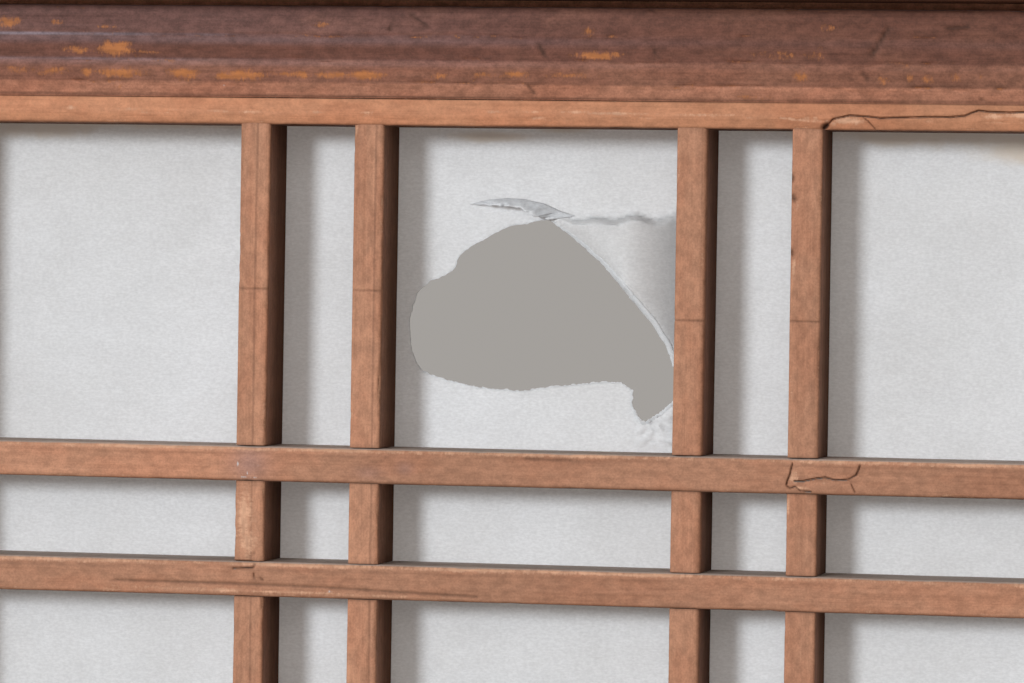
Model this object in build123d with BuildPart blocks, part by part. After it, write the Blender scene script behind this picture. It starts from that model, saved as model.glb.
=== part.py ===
"""A sliding paper screen with a paired lattice, in its own opening frame.

X runs along the slide, Y goes from the lattice side to the paper side and Z is up.
The origin is at the middle of the sill's underside. All sizes are in millimetres.
"""

import os

from build123d import *

# Lattice bars
BAR_DEPTH = 21.0
UPRIGHT_FACE = 9.0
CROSSBAR_FACE = 10.4
UPRIGHT_PAIR_PITCH = 34.4
CROSSBAR_PAIR_PITCH = 34.3
CELL_WIDTH = 87.0
CELL_HEIGHT = 95.5
UPRIGHT_PAIRS = 6
CROSSBAR_PAIRS = 11
LAP_SHARE = 0.5  # how much of its depth a crosswise bar keeps at a crossing
LAP_PLAY = 0.05
BAR_TENON_LENGTH = 4.0
BAR_TENON_THICKNESS = 9.0
TENON_PLAY = 0.05
MORTISE_SPARE = 0.3

# Inner strips that hold the lattice
STRIP_FACE = 7.8
STRIP_PROUD = 1.0
STRIP_BEVEL_FACE = 2.9

# Frame of the leaf
LEAF_THICKNESS = 30.0
STILE_FACE = 30.0
TOP_RAIL_FACE = 26.5
BOTTOM_RAIL_FACE = 46.0
CROWN = 2.0  # how far the planed faces stand before their own edges
CROWN_ARRISES = (4.4, 11.1)  # from either edge of a stile or the bottom rail
CROWN_DROPS = (0.9, 0.2)
TOP_RAIL_ARRISES = (4.4, 11.1, 18.6)  # from the lower edge
TOP_RAIL_DROPS = (0.9, 0.2, 0.0)
TOP_RAIL_UPPER_DROP = 0.8
RAIL_TENON_THICKNESS = 9.0
RAIL_TENON_SHOULDER = 5.0

# Tongues and grooves
TONGUE_THICKNESS = 20.0
GROOVE_WIDTH = 21.0
HEAD_GROOVE_DEPTH = 15.0
HEAD_ENGAGEMENT = 7.0
HEAD_GAP = 2.0
SILL_GROOVE_DEPTH = 3.0
SILL_GAP = 2.0
RUN_CLEARANCE = 0.3
END_PLAY = 0.5

# Opening frame
FRAME_DEPTH = 56.0
HEAD_HEIGHT = 42.0
SILL_HEIGHT = 45.0
JAMB_FACE = 36.0
JAMB_TENON = (12.0, 32.0, 20.0)
FRAME_ARRIS = 1.5

# Paper
PAPER_THICKNESS = 0.2
PAPER_MARGIN = 0.8  # bare strip left round the pasted edge
TORN_CELL_COLUMN = 3  # the wide cell with the tear, counted from the left, from 0
# The tear, across and down from the cell's upper left corner, going round against the clock
TEAR_UPPER_EDGE = [(45.9, 27.4), (34.7, 29.6), (24.8, 34.8), (19.1, 38.5), (17.9, 42.6), (10.1, 46.4)]
TEAR_LEFT_MIDDLE = (4.2, 59.6)
TEAR_LOWER_EDGE = [(11.8, 74.6), (25.5, 77.9), (39.1, 78.6), (57.5, 76.1), (68.6, 75.6)]
TEAR_CORNER = [(72.3, 77.9), (72.7, 83.8), (75.4, 87.3), (86.0, 79.0), (86.0, 72.0)]
TEAR_RIGHT_MIDDLE = (68.4, 47.4)

# Sizes that follow
upright_pair_width = UPRIGHT_PAIR_PITCH + UPRIGHT_FACE
crossbar_pair_width = CROSSBAR_PAIR_PITCH + CROSSBAR_FACE
lattice_width = (UPRIGHT_PAIRS + 1) * CELL_WIDTH + UPRIGHT_PAIRS * upright_pair_width
lattice_height = (CROSSBAR_PAIRS + 1) * CELL_HEIGHT + CROSSBAR_PAIRS * crossbar_pair_width
leaf_width = lattice_width + 2 * (STRIP_FACE + STILE_FACE)
leaf_height = BOTTOM_RAIL_FACE + lattice_height + 2 * STRIP_FACE + TOP_RAIL_FACE
opening_width = 2 * leaf_width - STILE_FACE
opening_height = SILL_GAP + leaf_height + HEAD_GAP
frame_width = opening_width + 2 * JAMB_FACE
travel = opening_width - leaf_width - 2 * END_PLAY

sill_top = SILL_HEIGHT
head_bottom = sill_top + opening_height
frame_top = head_bottom + HEAD_HEIGHT
leaf_bottom = sill_top + SILL_GAP
leaf_top = leaf_bottom + leaf_height
foot_tongue = SILL_GAP + SILL_GROOVE_DEPTH - RUN_CLEARANCE
head_tongue = HEAD_GAP + HEAD_ENGAGEMENT

leaf_left = -opening_width / 2 + END_PLAY
leaf_right = leaf_left + leaf_width
leaf_front = -LEAF_THICKNESS / 2
leaf_back = LEAF_THICKNESS / 2
strip_front = leaf_front + CROWN
bar_front = strip_front + STRIP_PROUD
bar_back = bar_front + BAR_DEPTH
bar_middle = (bar_front + bar_back) / 2

lattice_left = leaf_left + STILE_FACE + STRIP_FACE
lattice_right = lattice_left + lattice_width
lattice_bottom = leaf_bottom + BOTTOM_RAIL_FACE + STRIP_FACE
lattice_top = lattice_bottom + lattice_height
lattice_mid_x = (lattice_left + lattice_right) / 2
lattice_mid_z = (lattice_bottom + lattice_top) / 2
column_pitch = CELL_WIDTH + upright_pair_width
row_pitch = CELL_HEIGHT + crossbar_pair_width
front_half = LAP_SHARE * BAR_DEPTH  # depth of a crosswise bar at its crossings
back_half = BAR_DEPTH - front_half

upright_lefts = []
for pair in range(UPRIGHT_PAIRS):
    pair_left = lattice_left + CELL_WIDTH + pair * column_pitch
    upright_lefts += [pair_left, pair_left + UPRIGHT_PAIR_PITCH]
crossbar_tops = []
for pair in range(CROSSBAR_PAIRS):
    pair_top = lattice_top - CELL_HEIGHT - pair * row_pitch
    crossbar_tops += [pair_top, pair_top - CROSSBAR_PAIR_PITCH]
upright_mids = [left + UPRIGHT_FACE / 2 for left in upright_lefts]
crossbar_mids = [top - CROSSBAR_FACE / 2 for top in crossbar_tops]

os.makedirs("parts", exist_ok=True)


def save(part, name):
    """Labels a finished piece and writes it under its own name."""
    part.label = name
    export_step(part, f"parts/{name}.step")


def even_crown(face):
    """A planed front that is the same from either edge: corners along the face and back."""
    near = list(zip(CROWN_ARRISES, CROWN_DROPS))
    far = [(face - along, drop) for along, drop in reversed(near)]
    return [(0, CROWN), *near, *far, (face, CROWN)]


# Upright bars: a comb seen from the side, with a notch in front at every crosswise bar
for number, left in enumerate(upright_lefts, 1):
    with BuildPart() as upright:
        with BuildSketch(Plane.YZ.offset(left)):
            with Locations((bar_middle, lattice_mid_z)):
                Rectangle(BAR_DEPTH, lattice_height)
                Rectangle(BAR_TENON_THICKNESS, lattice_height + 2 * BAR_TENON_LENGTH)
            with Locations(*[(bar_front + (front_half + LAP_PLAY) / 2, z) for z in crossbar_mids]):
                Rectangle(
                    front_half + LAP_PLAY, CROSSBAR_FACE + 2 * LAP_PLAY, mode=Mode.SUBTRACT
                )
        extrude(amount=UPRIGHT_FACE)
    save(upright.part, f"upright_{number:02d}")

# Crosswise bars: a comb seen from above, with a notch behind at every upright
for number, top in enumerate(crossbar_tops, 1):
    with BuildPart() as crossbar:
        with BuildSketch(Plane.XY.offset(top - CROSSBAR_FACE)):
            with Locations((lattice_mid_x, bar_middle)):
                Rectangle(lattice_width, BAR_DEPTH)
                Rectangle(lattice_width + 2 * BAR_TENON_LENGTH, BAR_TENON_THICKNESS)
            with Locations(*[(x, bar_back - back_half / 2) for x in upright_mids]):
                Rectangle(UPRIGHT_FACE + 2 * LAP_PLAY, back_half, mode=Mode.SUBTRACT)
        extrude(amount=CROSSBAR_FACE)
    save(crossbar.part, f"crossbar_{number:02d}")


def strip(along, outward, middle, length, mortises, bar_face):
    """One inner strip, mitred at its ends, with a mortise for each bar it holds.

    It runs along one direction; its section goes from the inner edge outwards, and
    the mortises are given along it from its middle.
    """
    depth_axis = (0, 1, 0)
    section = Plane(origin=middle, x_dir=depth_axis, z_dir=along)
    inner = Plane(origin=middle, x_dir=along, z_dir=outward)
    outer_length = length + 2 * STRIP_FACE
    with BuildPart() as piece:
        with BuildSketch(section):
            with BuildLine():
                Polyline(
                    (strip_front + STRIP_PROUD, 0),
                    (bar_back, 0),
                    (bar_back, STRIP_FACE),
                    (strip_front, STRIP_FACE),
                    (strip_front, STRIP_BEVEL_FACE),
                    close=True,
                )
            make_face()
        extrude(amount=outer_length / 2, both=True)
        for end in (1, -1):
            corner = inner.origin + inner.x_dir * (end * length / 2)
            tangent = inner.x_dir * end + inner.z_dir
            away = inner.x_dir * end - inner.z_dir
            mitre = Plane(origin=corner, x_dir=tangent, z_dir=away)
            split(bisect_by=mitre, keep=Keep.BOTTOM)
        with BuildSketch(inner):
            side = 1 if inner.y_dir.Y > 0 else -1
            with Locations(*[(place, side * bar_middle) for place in mortises]):
                Rectangle(bar_face + 2 * TENON_PLAY, BAR_TENON_THICKNESS + 2 * TENON_PLAY)
        extrude(amount=BAR_TENON_LENGTH + MORTISE_SPARE, mode=Mode.SUBTRACT)
    return piece.part


upright_places = [x - lattice_mid_x for x in upright_mids]
crossbar_places = [z - lattice_mid_z for z in crossbar_mids]
strip_top = strip(
    (1, 0, 0), (0, 0, 1), (lattice_mid_x, 0, lattice_top), lattice_width, upright_places, UPRIGHT_FACE
)
save(strip_top, "strip_top")
strip_bottom = strip(
    (-1, 0, 0),
    (0, 0, -1),
    (lattice_mid_x, 0, lattice_bottom),
    lattice_width,
    [-place for place in upright_places],
    UPRIGHT_FACE,
)
save(strip_bottom, "strip_bottom")
strip_left = strip(
    (0, 0, 1),
    (-1, 0, 0),
    (lattice_left, 0, lattice_mid_z),
    lattice_height,
    crossbar_places,
    CROSSBAR_FACE,
)
save(strip_left, "strip_left")
strip_right = strip(
    (0, 0, -1),
    (1, 0, 0),
    (lattice_right, 0, lattice_mid_z),
    lattice_height,
    [-place for place in crossbar_places],
    CROSSBAR_FACE,
)
save(strip_right, "strip_right")

# Rails: each has a planed front, a tongue for its groove and tenons through the stiles
rail_left = leaf_left + STILE_FACE
rail_length = leaf_width - 2 * STILE_FACE
rail_mid_x = (leaf_left + leaf_right) / 2

with BuildPart() as top_rail:
    rail_foot = leaf_top - TOP_RAIL_FACE
    top_rail_crown = [(0, CROWN), *zip(TOP_RAIL_ARRISES, TOP_RAIL_DROPS)]
    top_rail_crown.append((TOP_RAIL_FACE, TOP_RAIL_UPPER_DROP))
    with BuildSketch(Plane.YZ.offset(rail_left)):
        with BuildLine():
            Polyline(
                *[(leaf_front + drop, rail_foot + up) for up, drop in top_rail_crown],
                (-TONGUE_THICKNESS / 2, leaf_top),
                (-TONGUE_THICKNESS / 2, leaf_top + head_tongue),
                (TONGUE_THICKNESS / 2, leaf_top + head_tongue),
                (TONGUE_THICKNESS / 2, leaf_top),
                (leaf_back, leaf_top),
                (leaf_back, rail_foot),
                close=True,
            )
        make_face()
    extrude(amount=rail_length)
    top_tenon_height = TOP_RAIL_FACE - 2 * RAIL_TENON_SHOULDER
    top_tenon_mid = leaf_top - TOP_RAIL_FACE / 2
    with BuildSketch(Plane.YZ.offset(leaf_left)):
        with Locations((0, top_tenon_mid)):
            Rectangle(RAIL_TENON_THICKNESS, top_tenon_height)
    extrude(amount=leaf_width)
save(top_rail.part, "top_rail")

with BuildPart() as bottom_rail:
    with BuildSketch(Plane.YZ.offset(rail_left)):
        with BuildLine():
            Polyline(
                *[(leaf_front + drop, leaf_bottom + up) for up, drop in even_crown(BOTTOM_RAIL_FACE)],
                (leaf_back, leaf_bottom + BOTTOM_RAIL_FACE),
                (leaf_back, leaf_bottom),
                (TONGUE_THICKNESS / 2, leaf_bottom),
                (TONGUE_THICKNESS / 2, leaf_bottom - foot_tongue),
                (-TONGUE_THICKNESS / 2, leaf_bottom - foot_tongue),
                (-TONGUE_THICKNESS / 2, leaf_bottom),
                close=True,
            )
        make_face()
    extrude(amount=rail_length)
    bottom_tenon_height = BOTTOM_RAIL_FACE - 2 * RAIL_TENON_SHOULDER
    bottom_tenon_mid = leaf_bottom + BOTTOM_RAIL_FACE / 2
    with BuildSketch(Plane.YZ.offset(leaf_left)):
        with Locations((0, bottom_tenon_mid)):
            Rectangle(RAIL_TENON_THICKNESS, bottom_tenon_height)
    extrude(amount=leaf_width)
save(bottom_rail.part, "bottom_rail")

# Stiles: full height, thinned to the tongue at both ends, mortised through for the rails
for side, stile_left in (("left", leaf_left), ("right", leaf_right - STILE_FACE)):
    stile_bottom = leaf_bottom - foot_tongue
    stile_height = foot_tongue + leaf_height + head_tongue
    with BuildPart() as stile:
        with BuildSketch(Plane.XY.offset(stile_bottom)):
            with BuildLine():
                Polyline(
                    *[(stile_left + across, leaf_front + drop) for across, drop in even_crown(STILE_FACE)],
                    (stile_left + STILE_FACE, leaf_back),
                    (stile_left, leaf_back),
                    close=True,
                )
            make_face()
        extrude(amount=stile_height)
        with BuildSketch(Plane.YZ.offset(stile_left)):
            cheek = (LEAF_THICKNESS - TONGUE_THICKNESS) / 2
            for y in (leaf_front + cheek / 2, leaf_back - cheek / 2):
                with Locations((y, leaf_top + head_tongue / 2)):
                    Rectangle(cheek, head_tongue)
                with Locations((y, leaf_bottom - foot_tongue / 2)):
                    Rectangle(cheek, foot_tongue)
            with Locations((0, top_tenon_mid)):
                Rectangle(
                    RAIL_TENON_THICKNESS + 2 * TENON_PLAY, top_tenon_height + 2 * TENON_PLAY
                )
            with Locations((0, bottom_tenon_mid)):
                Rectangle(
                    RAIL_TENON_THICKNESS + 2 * TENON_PLAY, bottom_tenon_height + 2 * TENON_PLAY
                )
        extrude(amount=STILE_FACE, mode=Mode.SUBTRACT)
    save(stile.part, f"stile_{side}")

# Paper on the back of the lattice, with the tear in its wide cell of the top row
paper_width = lattice_width + 2 * (STRIP_FACE - PAPER_MARGIN)
paper_height = lattice_height + 2 * (STRIP_FACE - PAPER_MARGIN)
torn_cell_left = lattice_left + TORN_CELL_COLUMN * column_pitch


def on_paper(points):
    """Places points of the tear, across and down from the torn cell's corner."""
    return [(torn_cell_left + across, lattice_top - down) for across, down in points]


with BuildPart() as paper:
    with BuildSketch(Plane.XZ.offset(-bar_back)):
        with Locations((lattice_mid_x, lattice_mid_z)):
            Rectangle(paper_width, paper_height)
        with BuildLine():
            Polyline(*on_paper(TEAR_UPPER_EDGE))
            Polyline(*on_paper(TEAR_LOWER_EDGE + TEAR_CORNER))
            left_arc = [TEAR_UPPER_EDGE[-1], TEAR_LEFT_MIDDLE, TEAR_LOWER_EDGE[0]]
            ThreePointArc(*on_paper(left_arc))
            right_arc = [TEAR_CORNER[-1], TEAR_RIGHT_MIDDLE, TEAR_UPPER_EDGE[0]]
            ThreePointArc(*on_paper(right_arc))
        make_face(mode=Mode.SUBTRACT)
    extrude(amount=-PAPER_THICKNESS)
save(paper.part, "paper")

# Opening frame: grooved head and sill, and two jambs tenoned into both
tenon_width, tenon_depth, tenon_length = JAMB_TENON
jamb_mids = [-(opening_width + JAMB_FACE) / 2, (opening_width + JAMB_FACE) / 2]

with BuildPart() as head_track:
    with BuildSketch(Plane.XY.offset(head_bottom)):
        Rectangle(frame_width, FRAME_DEPTH)
    extrude(amount=HEAD_HEIGHT)
    chamfer(head_track.edges().filter_by(Axis.X).group_by(Axis.Z)[0], FRAME_ARRIS)
    with BuildSketch(Plane.XY.offset(head_bottom)):
        Rectangle(opening_width, GROOVE_WIDTH)
    extrude(amount=HEAD_GROOVE_DEPTH, mode=Mode.SUBTRACT)
    with BuildSketch(Plane.XY.offset(head_bottom)):
        with Locations(*[(x, 0) for x in jamb_mids]):
            Rectangle(tenon_width + 2 * TENON_PLAY, tenon_depth + 2 * TENON_PLAY)
    extrude(amount=tenon_length + MORTISE_SPARE, mode=Mode.SUBTRACT)
save(head_track.part, "head_track")

with BuildPart() as sill_track:
    with BuildSketch():
        Rectangle(frame_width, FRAME_DEPTH)
    extrude(amount=SILL_HEIGHT)
    chamfer(sill_track.edges().filter_by(Axis.X).group_by(Axis.Z)[-1], FRAME_ARRIS)
    with BuildSketch(Plane.XY.offset(sill_top)):
        Rectangle(opening_width, GROOVE_WIDTH)
    extrude(amount=-SILL_GROOVE_DEPTH, mode=Mode.SUBTRACT)
    with BuildSketch(Plane.XY.offset(sill_top)):
        with Locations(*[(x, 0) for x in jamb_mids]):
            Rectangle(tenon_width + 2 * TENON_PLAY, tenon_depth + 2 * TENON_PLAY)
    extrude(amount=-(tenon_length + MORTISE_SPARE), mode=Mode.SUBTRACT)
save(sill_track.part, "sill_track")

for side, jamb_mid in zip(("left", "right"), jamb_mids):
    with BuildPart() as jamb:
        with BuildSketch(Plane.XY.offset(sill_top)):
            with Locations((jamb_mid, 0)):
                Rectangle(JAMB_FACE, FRAME_DEPTH)
        extrude(amount=opening_height)
        chamfer(jamb.edges().filter_by(Axis.Z), FRAME_ARRIS)
        with BuildSketch(Plane.XY.offset(sill_top - tenon_length)):
            with Locations((jamb_mid, 0)):
                Rectangle(tenon_width, tenon_depth)
        extrude(amount=opening_height + 2 * tenon_length)
    save(jamb.part, f"jamb_{side}")

print(f"leaf {leaf_width:.1f} x {leaf_height:.1f} mm, travel {travel:.1f} mm")
print(f"opening {opening_width:.1f} x {opening_height:.1f} mm")
print(f"frame {frame_width:.1f} x {FRAME_DEPTH:.1f} x {frame_top:.1f} mm")
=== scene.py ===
"""The finish of a sliding paper screen: its worn wooden members, its torn paper and its stage.

Shapes and marks are worked out in millimetres and put into the meshes in metres, in the
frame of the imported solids. X runs along the slide, Y from the lattice side to the paper
side and Z is up. Marks are placed across and down from the torn cell's upper left corner.
"""

import math

import bpy
import numpy as np
from bpy.props import FloatProperty, FloatVectorProperty, PointerProperty
from mathutils import Matrix, Vector


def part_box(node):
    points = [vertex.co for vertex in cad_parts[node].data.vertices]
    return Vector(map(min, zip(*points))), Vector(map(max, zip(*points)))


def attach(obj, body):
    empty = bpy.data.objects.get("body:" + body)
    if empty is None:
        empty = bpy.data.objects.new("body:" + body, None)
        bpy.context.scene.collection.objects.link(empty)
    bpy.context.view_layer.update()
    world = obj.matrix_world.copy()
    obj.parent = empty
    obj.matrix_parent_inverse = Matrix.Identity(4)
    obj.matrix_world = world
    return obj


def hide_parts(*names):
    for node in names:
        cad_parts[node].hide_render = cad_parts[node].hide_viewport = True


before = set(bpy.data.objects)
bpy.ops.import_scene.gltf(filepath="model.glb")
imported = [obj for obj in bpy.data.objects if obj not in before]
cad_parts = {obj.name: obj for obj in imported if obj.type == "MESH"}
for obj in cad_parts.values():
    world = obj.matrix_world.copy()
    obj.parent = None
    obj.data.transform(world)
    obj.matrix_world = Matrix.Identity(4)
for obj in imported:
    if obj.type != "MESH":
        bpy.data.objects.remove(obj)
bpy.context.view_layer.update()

bl_info = {
    "name": "Sliding paper screen",
    "version": (1, 0, 0),
    "blender": (4, 5, 0),
    "location": "3D View > Sidebar > Screen",
    "description": "Builds the worn wood, the torn paper and the stage of a sliding paper screen",
    "category": "Object",
}

MM = 0.001

# Small shifts and tints of single pieces, in millimetres and as a share of brightness
NUDGES = {
    "upright_05": 0.25, "upright_06": 0.38, "upright_07": 0.6, "crossbar_01": -0.25, "crossbar_02": -0.2,
}
TINTS = {
    "upright_06": 0.08, "upright_07": -0.10, "upright_08": 0.05, "crossbar_01": -0.10, "crossbar_02": -0.10,
}


def box_mm(node):
    """Lowest and highest corner of a solid, in millimetres."""
    low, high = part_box(node)
    return np.array(low) / MM, np.array(high) / MM


def bar_box(node):
    """The box of a bar, shifted by its nudge: an upright along X, a crosswise bar along Z."""
    shift = np.zeros(3)
    shift[0 if node.startswith("upright") else 2] = NUDGES.get(node, 0.0)
    low, high = box_mm(node)
    return low + shift, high + shift


# Places that the solids give
UPRIGHTS = sorted(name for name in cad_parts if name.startswith("upright_"))
CROSSBARS = sorted(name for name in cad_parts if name.startswith("crossbar_"))
LATTICE_LEFT = box_mm("strip_left")[1][0]
LATTICE_RIGHT = box_mm("strip_right")[0][0]
LATTICE_TOP = box_mm("strip_top")[0][2]
LATTICE_BOTTOM = box_mm("strip_bottom")[1][2]
BAR_FRONT = box_mm(UPRIGHTS[0])[0][1]
BAR_BACK = box_mm(UPRIGHTS[0])[1][1]
BAR_MIDDLE = (BAR_FRONT + BAR_BACK) / 2
TORN_CELL_LEFT = box_mm("upright_06")[1][0]
TORN_CELL_RIGHT = box_mm("upright_07")[0][0]
TORN_CELL_FOOT = box_mm("crossbar_01")[1][2]
CELL_SPAN = TORN_CELL_RIGHT - TORN_CELL_LEFT
LEAF_LEFT = box_mm("stile_left")[0][0]
LEAF_RIGHT = box_mm("stile_right")[1][0]
LEAF_FRONT = box_mm("stile_left")[0][1]
LEAF_BACK = box_mm("stile_left")[1][1]
RAIL_LEFT = box_mm("stile_left")[1][0]
RAIL_RIGHT = box_mm("stile_right")[0][0]
RAIL_FOOT = box_mm("strip_top")[1][2]
BOTTOM_RAIL_TOP = box_mm("strip_bottom")[0][2]
STILE_FOOT = box_mm("stile_left")[0][2]
STILE_TOP = box_mm("stile_left")[1][2]

# Sections of the members, as in the solids
TENON_HALF = 4.5
TOP_RAIL_FACE = 26.5
BOTTOM_RAIL_FACE = 46.0
TONGUE_HALF = 10.0
TENON_SHOULDER = 5.0
CROWN = ((0.0, 2.0), (4.4, 0.9), (11.1, 0.2))
TOP_RAIL_CREST = (18.6, 0.0)
TOP_RAIL_UPPER_DROP = 0.8
STRIP_BEVEL_FACE = 2.9
RAIL_DROP = 0.65  # how far the worn top rail and its strip have sunk
LEAF_TOP = RAIL_FOOT + TOP_RAIL_FACE
LEAF_BOTTOM = BOTTOM_RAIL_TOP - BOTTOM_RAIL_FACE

# Play at the crossings, and how the members are rounded and divided
CROSSING_PLAY = 0.05
CRISP = 0.15  # rounding of the arrises that nobody touches
CURVED_FROM = 0.3  # a rounding above this is drawn as a curve and wears
CURVE_STEPS = 4
CURVE_MARGIN = 0.3  # how far from a curve the places along a face begin
ARRIS_REACH = 1.3  # how far from a worn arris the wear fades
PLANING = 0.035  # how uneven the planed faces are
SWAY = 0.16  # how far a member wanders sideways along its length
CLOSEST_SECTIONS = 0.015
FINE_SPACINGS = {"upright": 0.8, "crossbar": 0.35, "strip": 0.3, "rail": 0.6}  # where the view shows them
COARSE_SPACING = 3.0
EDGE_OFFSETS = (-0.6, -0.02, 0.02, 0.6)  # sections beside a notch, shoulder or scribed line
SHARP_ANGLE = math.radians(50.0)
# Where the noises of each kind of member start
SEEDS = {"upright": 100, "crossbar": 500, "strip": 900, "rail": 1300, "stile": 1700}

# The tear, across and down, going round against the clock from its top
TEAR = [
    (45.9, 27.4), (40.3, 28.6), (34.7, 29.6), (29.6, 31.9), (24.8, 34.8), (20.6, 37.2), (18.6, 39.3),
    (17.9, 42.6), (14.4, 44.8), (10.1, 46.4), (7.0, 49.3), (5.2, 53.6), (4.2, 59.6), (4.9, 67.0),
    (7.8, 72.9), (11.8, 74.6), (16.0, 75.8), (25.5, 77.9), (32.0, 78.2), (39.1, 78.6), (48.8, 76.9),
    (57.5, 76.1), (64.0, 75.4), (68.6, 75.6), (72.3, 77.9), (71.6, 81.0), (72.7, 83.8), (75.4, 87.3),
    (80.4, 84.2), (86.0, 79.0), (88.0, 74.0), (86.0, 71.4), (83.9, 70.3), (82.0, 64.7), (77.4, 57.7),
    (71.9, 51.5), (66.4, 45.1), (61.8, 39.9), (53.2, 32.6),
]
FLAP_EDGE = [
    (45.9, 27.4), (53.2, 32.6), (61.8, 39.9), (66.4, 45.1), (71.9, 51.5), (77.4, 57.7), (82.0, 64.7),
    (84.6, 72.0), (87.0, 76.0),
]
FLAP_RIDGE = 69.5  # where the flap stands furthest forward, across
LIP_FREE_EDGE = [
    (22.2, 23.5), (27.7, 23.6), (32.0, 23.9), (36.3, 24.0),
    (39.1, 25.0), (42.0, 26.7), (45.6, 27.9),
]
LIP_HINGE = [
    (22.2, 23.3), (27.6, 21.9), (33.0, 21.4), (38.2, 21.5),
    (44.9, 22.9), (49.5, 24.9), (54.0, 26.3),
]

# Bare patches: across, down, half length, half height and strength
WORN_PATCHES = [
    (-111.0, -14.6, 4.0, 1.3, 0.55), (-101.0, -14.4, 5.5, 1.4, 0.6), (-89.9, -13.9, 1.6, 1.3, 1.0),
    (-79.5, -14.2, 7.0, 1.4, 0.95), (-60.2, -14.0, 4.6, 1.5, 1.0), (-47.5, -13.4, 3.0, 1.0, 0.9),
    (-42.0, -13.8, 6.5, 1.6, 1.0), (-28.5, -14.2, 5.5, 0.9, 0.75), (-24.0, -13.9, 2.4, 1.2, 0.85),
    (-14.0, -13.9, 6.0, 1.0, 0.85), (-5.0, -14.0, 6.5, 1.3, 1.0), (17.2, -14.0, 2.8, 1.0, 0.65),
    (31.5, -14.2, 5.0, 1.0, 0.5), (40.5, -14.6, 3.4, 1.2, 0.8), (56.5, -14.4, 9.0, 0.9, 0.5),
    (123.9, -14.8, 2.4, 1.6, 0.75), (147.8, -13.7, 1.8, 1.3, 0.65), (155.5, -14.8, 1.2, 1.4, 0.55),
    (160.6, -14.2, 2.1, 1.3, 0.65), (169.0, -14.8, 1.7, 1.2, 0.65), (176.0, -14.8, 1.0, 1.0, 0.55),
    (-92.0, -20.6, 5.2, 1.2, 0.75), (-81.0, -21.2, 5.4, 2.2, 1.0), (-70.0, -20.2, 5.0, 0.6, 0.55),
    (63.9, -20.3, 6.6, 1.1, 1.0), (118.0, -20.8, 12.0, 1.6, 0.35), (129.2, -21.4, 1.8, 1.8, 0.55),
    (-114.0, -28.8, 3.4, 1.6, 1.0), (-99.6, -29.0, 2.2, 0.9, 0.6), (-84.6, -27.6, 4.2, 0.8, 0.5),
    (-18.6, -28.6, 3.4, 1.0, 0.4), (61.5, -27.2, 1.9, 1.5, 0.65), (131.0, -28.8, 3.6, 1.2, 0.4),
    (-80.0, -10.0, 2.2, 1.0, 0.45), (110.0, -8.6, 8.0, 0.9, 0.3),
    (-95.0, -3.6, 2.4, 0.7, 0.7), (-76.0, -3.4, 4.4, 0.7, 0.7), (-64.0, -3.3, 3.0, 0.6, 0.7),
    (-50.0, -3.0, 3.5, 0.5, 0.6), (-40.0, -2.9, 3.0, 0.5, 0.7), (-20.0, -3.0, 3.0, 0.5, 0.6),
    (-5.0, -3.0, 3.0, 0.5, 0.6), (33.0, -3.6, 3.0, 0.6, 0.7), (45.0, -3.7, 5.0, 0.5, 0.6),
    (58.0, -3.8, 4.0, 0.5, 0.9), (70.0, -3.5, 12.0, 0.45, 0.7), (95.0, -3.4, 14.0, 0.45, 0.6),
    (137.5, -2.1, 4.2, 1.1, 1.1), (133.4, -1.2, 1.0, 0.9, 0.9), (179.5, -3.8, 3.0, 0.9, 1.0),
    (187.0, -4.1, 5.0, 0.8, 1.1), (196.0, -3.9, 4.0, 1.1, 1.1),
    (-40.4, 116.0, 3.1, 9.0, 0.9), (-39.6, 124.0, 3.0, 5.0, 0.9), (123.0, 22.5, 0.5, 1.6, 0.8),
    (122.4, 41.0, 0.5, 3.2, 0.8), (-25.0, 138.9, 17.0, 0.4, 0.8), (-46.0, 138.7, 5.0, 0.8, 0.9),
    (-60.0, 138.6, 30.0, 0.8, 0.45), (0.0, 139.3, 30.0, 0.5, 0.5), (12.0, 95.9, 30.0, 0.5, 0.4),
    (64.0, 96.3, 8.0, 0.6, 0.8), (123.3, 101.2, 1.2, 2.2, 0.9), (126.0, 104.4, 2.4, 0.6, 0.8),
    (131.0, 103.0, 5.0, 0.5, 0.5), (121.9, 110.0, 0.5, 3.0, 0.9),
]
# Pale dabs of old paste, on the same terms
PASTE_DABS = [
    (-42.6, 101.2, 0.4, 1.0, 0.8), (-40.6, 105.1, 1.5, 0.4, 0.85), (-37.6, 105.2, 1.3, 0.35, 0.8),
    (-36.0, 101.6, 1.6, 0.4, 0.6), (-39.6, 104.0, 0.3, 0.8, 0.9),
    (-13.7, 138.3, 0.8, 0.8, 1.0), (-118.4, -3.9, 0.3, 0.8, 0.9), (-47.8, -10.6, 1.0, 0.35, 0.7),
    (-46.4, -11.6, 0.8, 0.3, 0.7),
]
# Bluish haze on the crosswise bars, on the same terms
HAZY_SPOTS = [
    (-38.9, 101.0, 5.4, 5.0, 0.35), (-3.0, 103.0, 4.0, 2.0, 0.2), (8.0, 101.5, 2.4, 2.0, 0.25),
]
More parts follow.
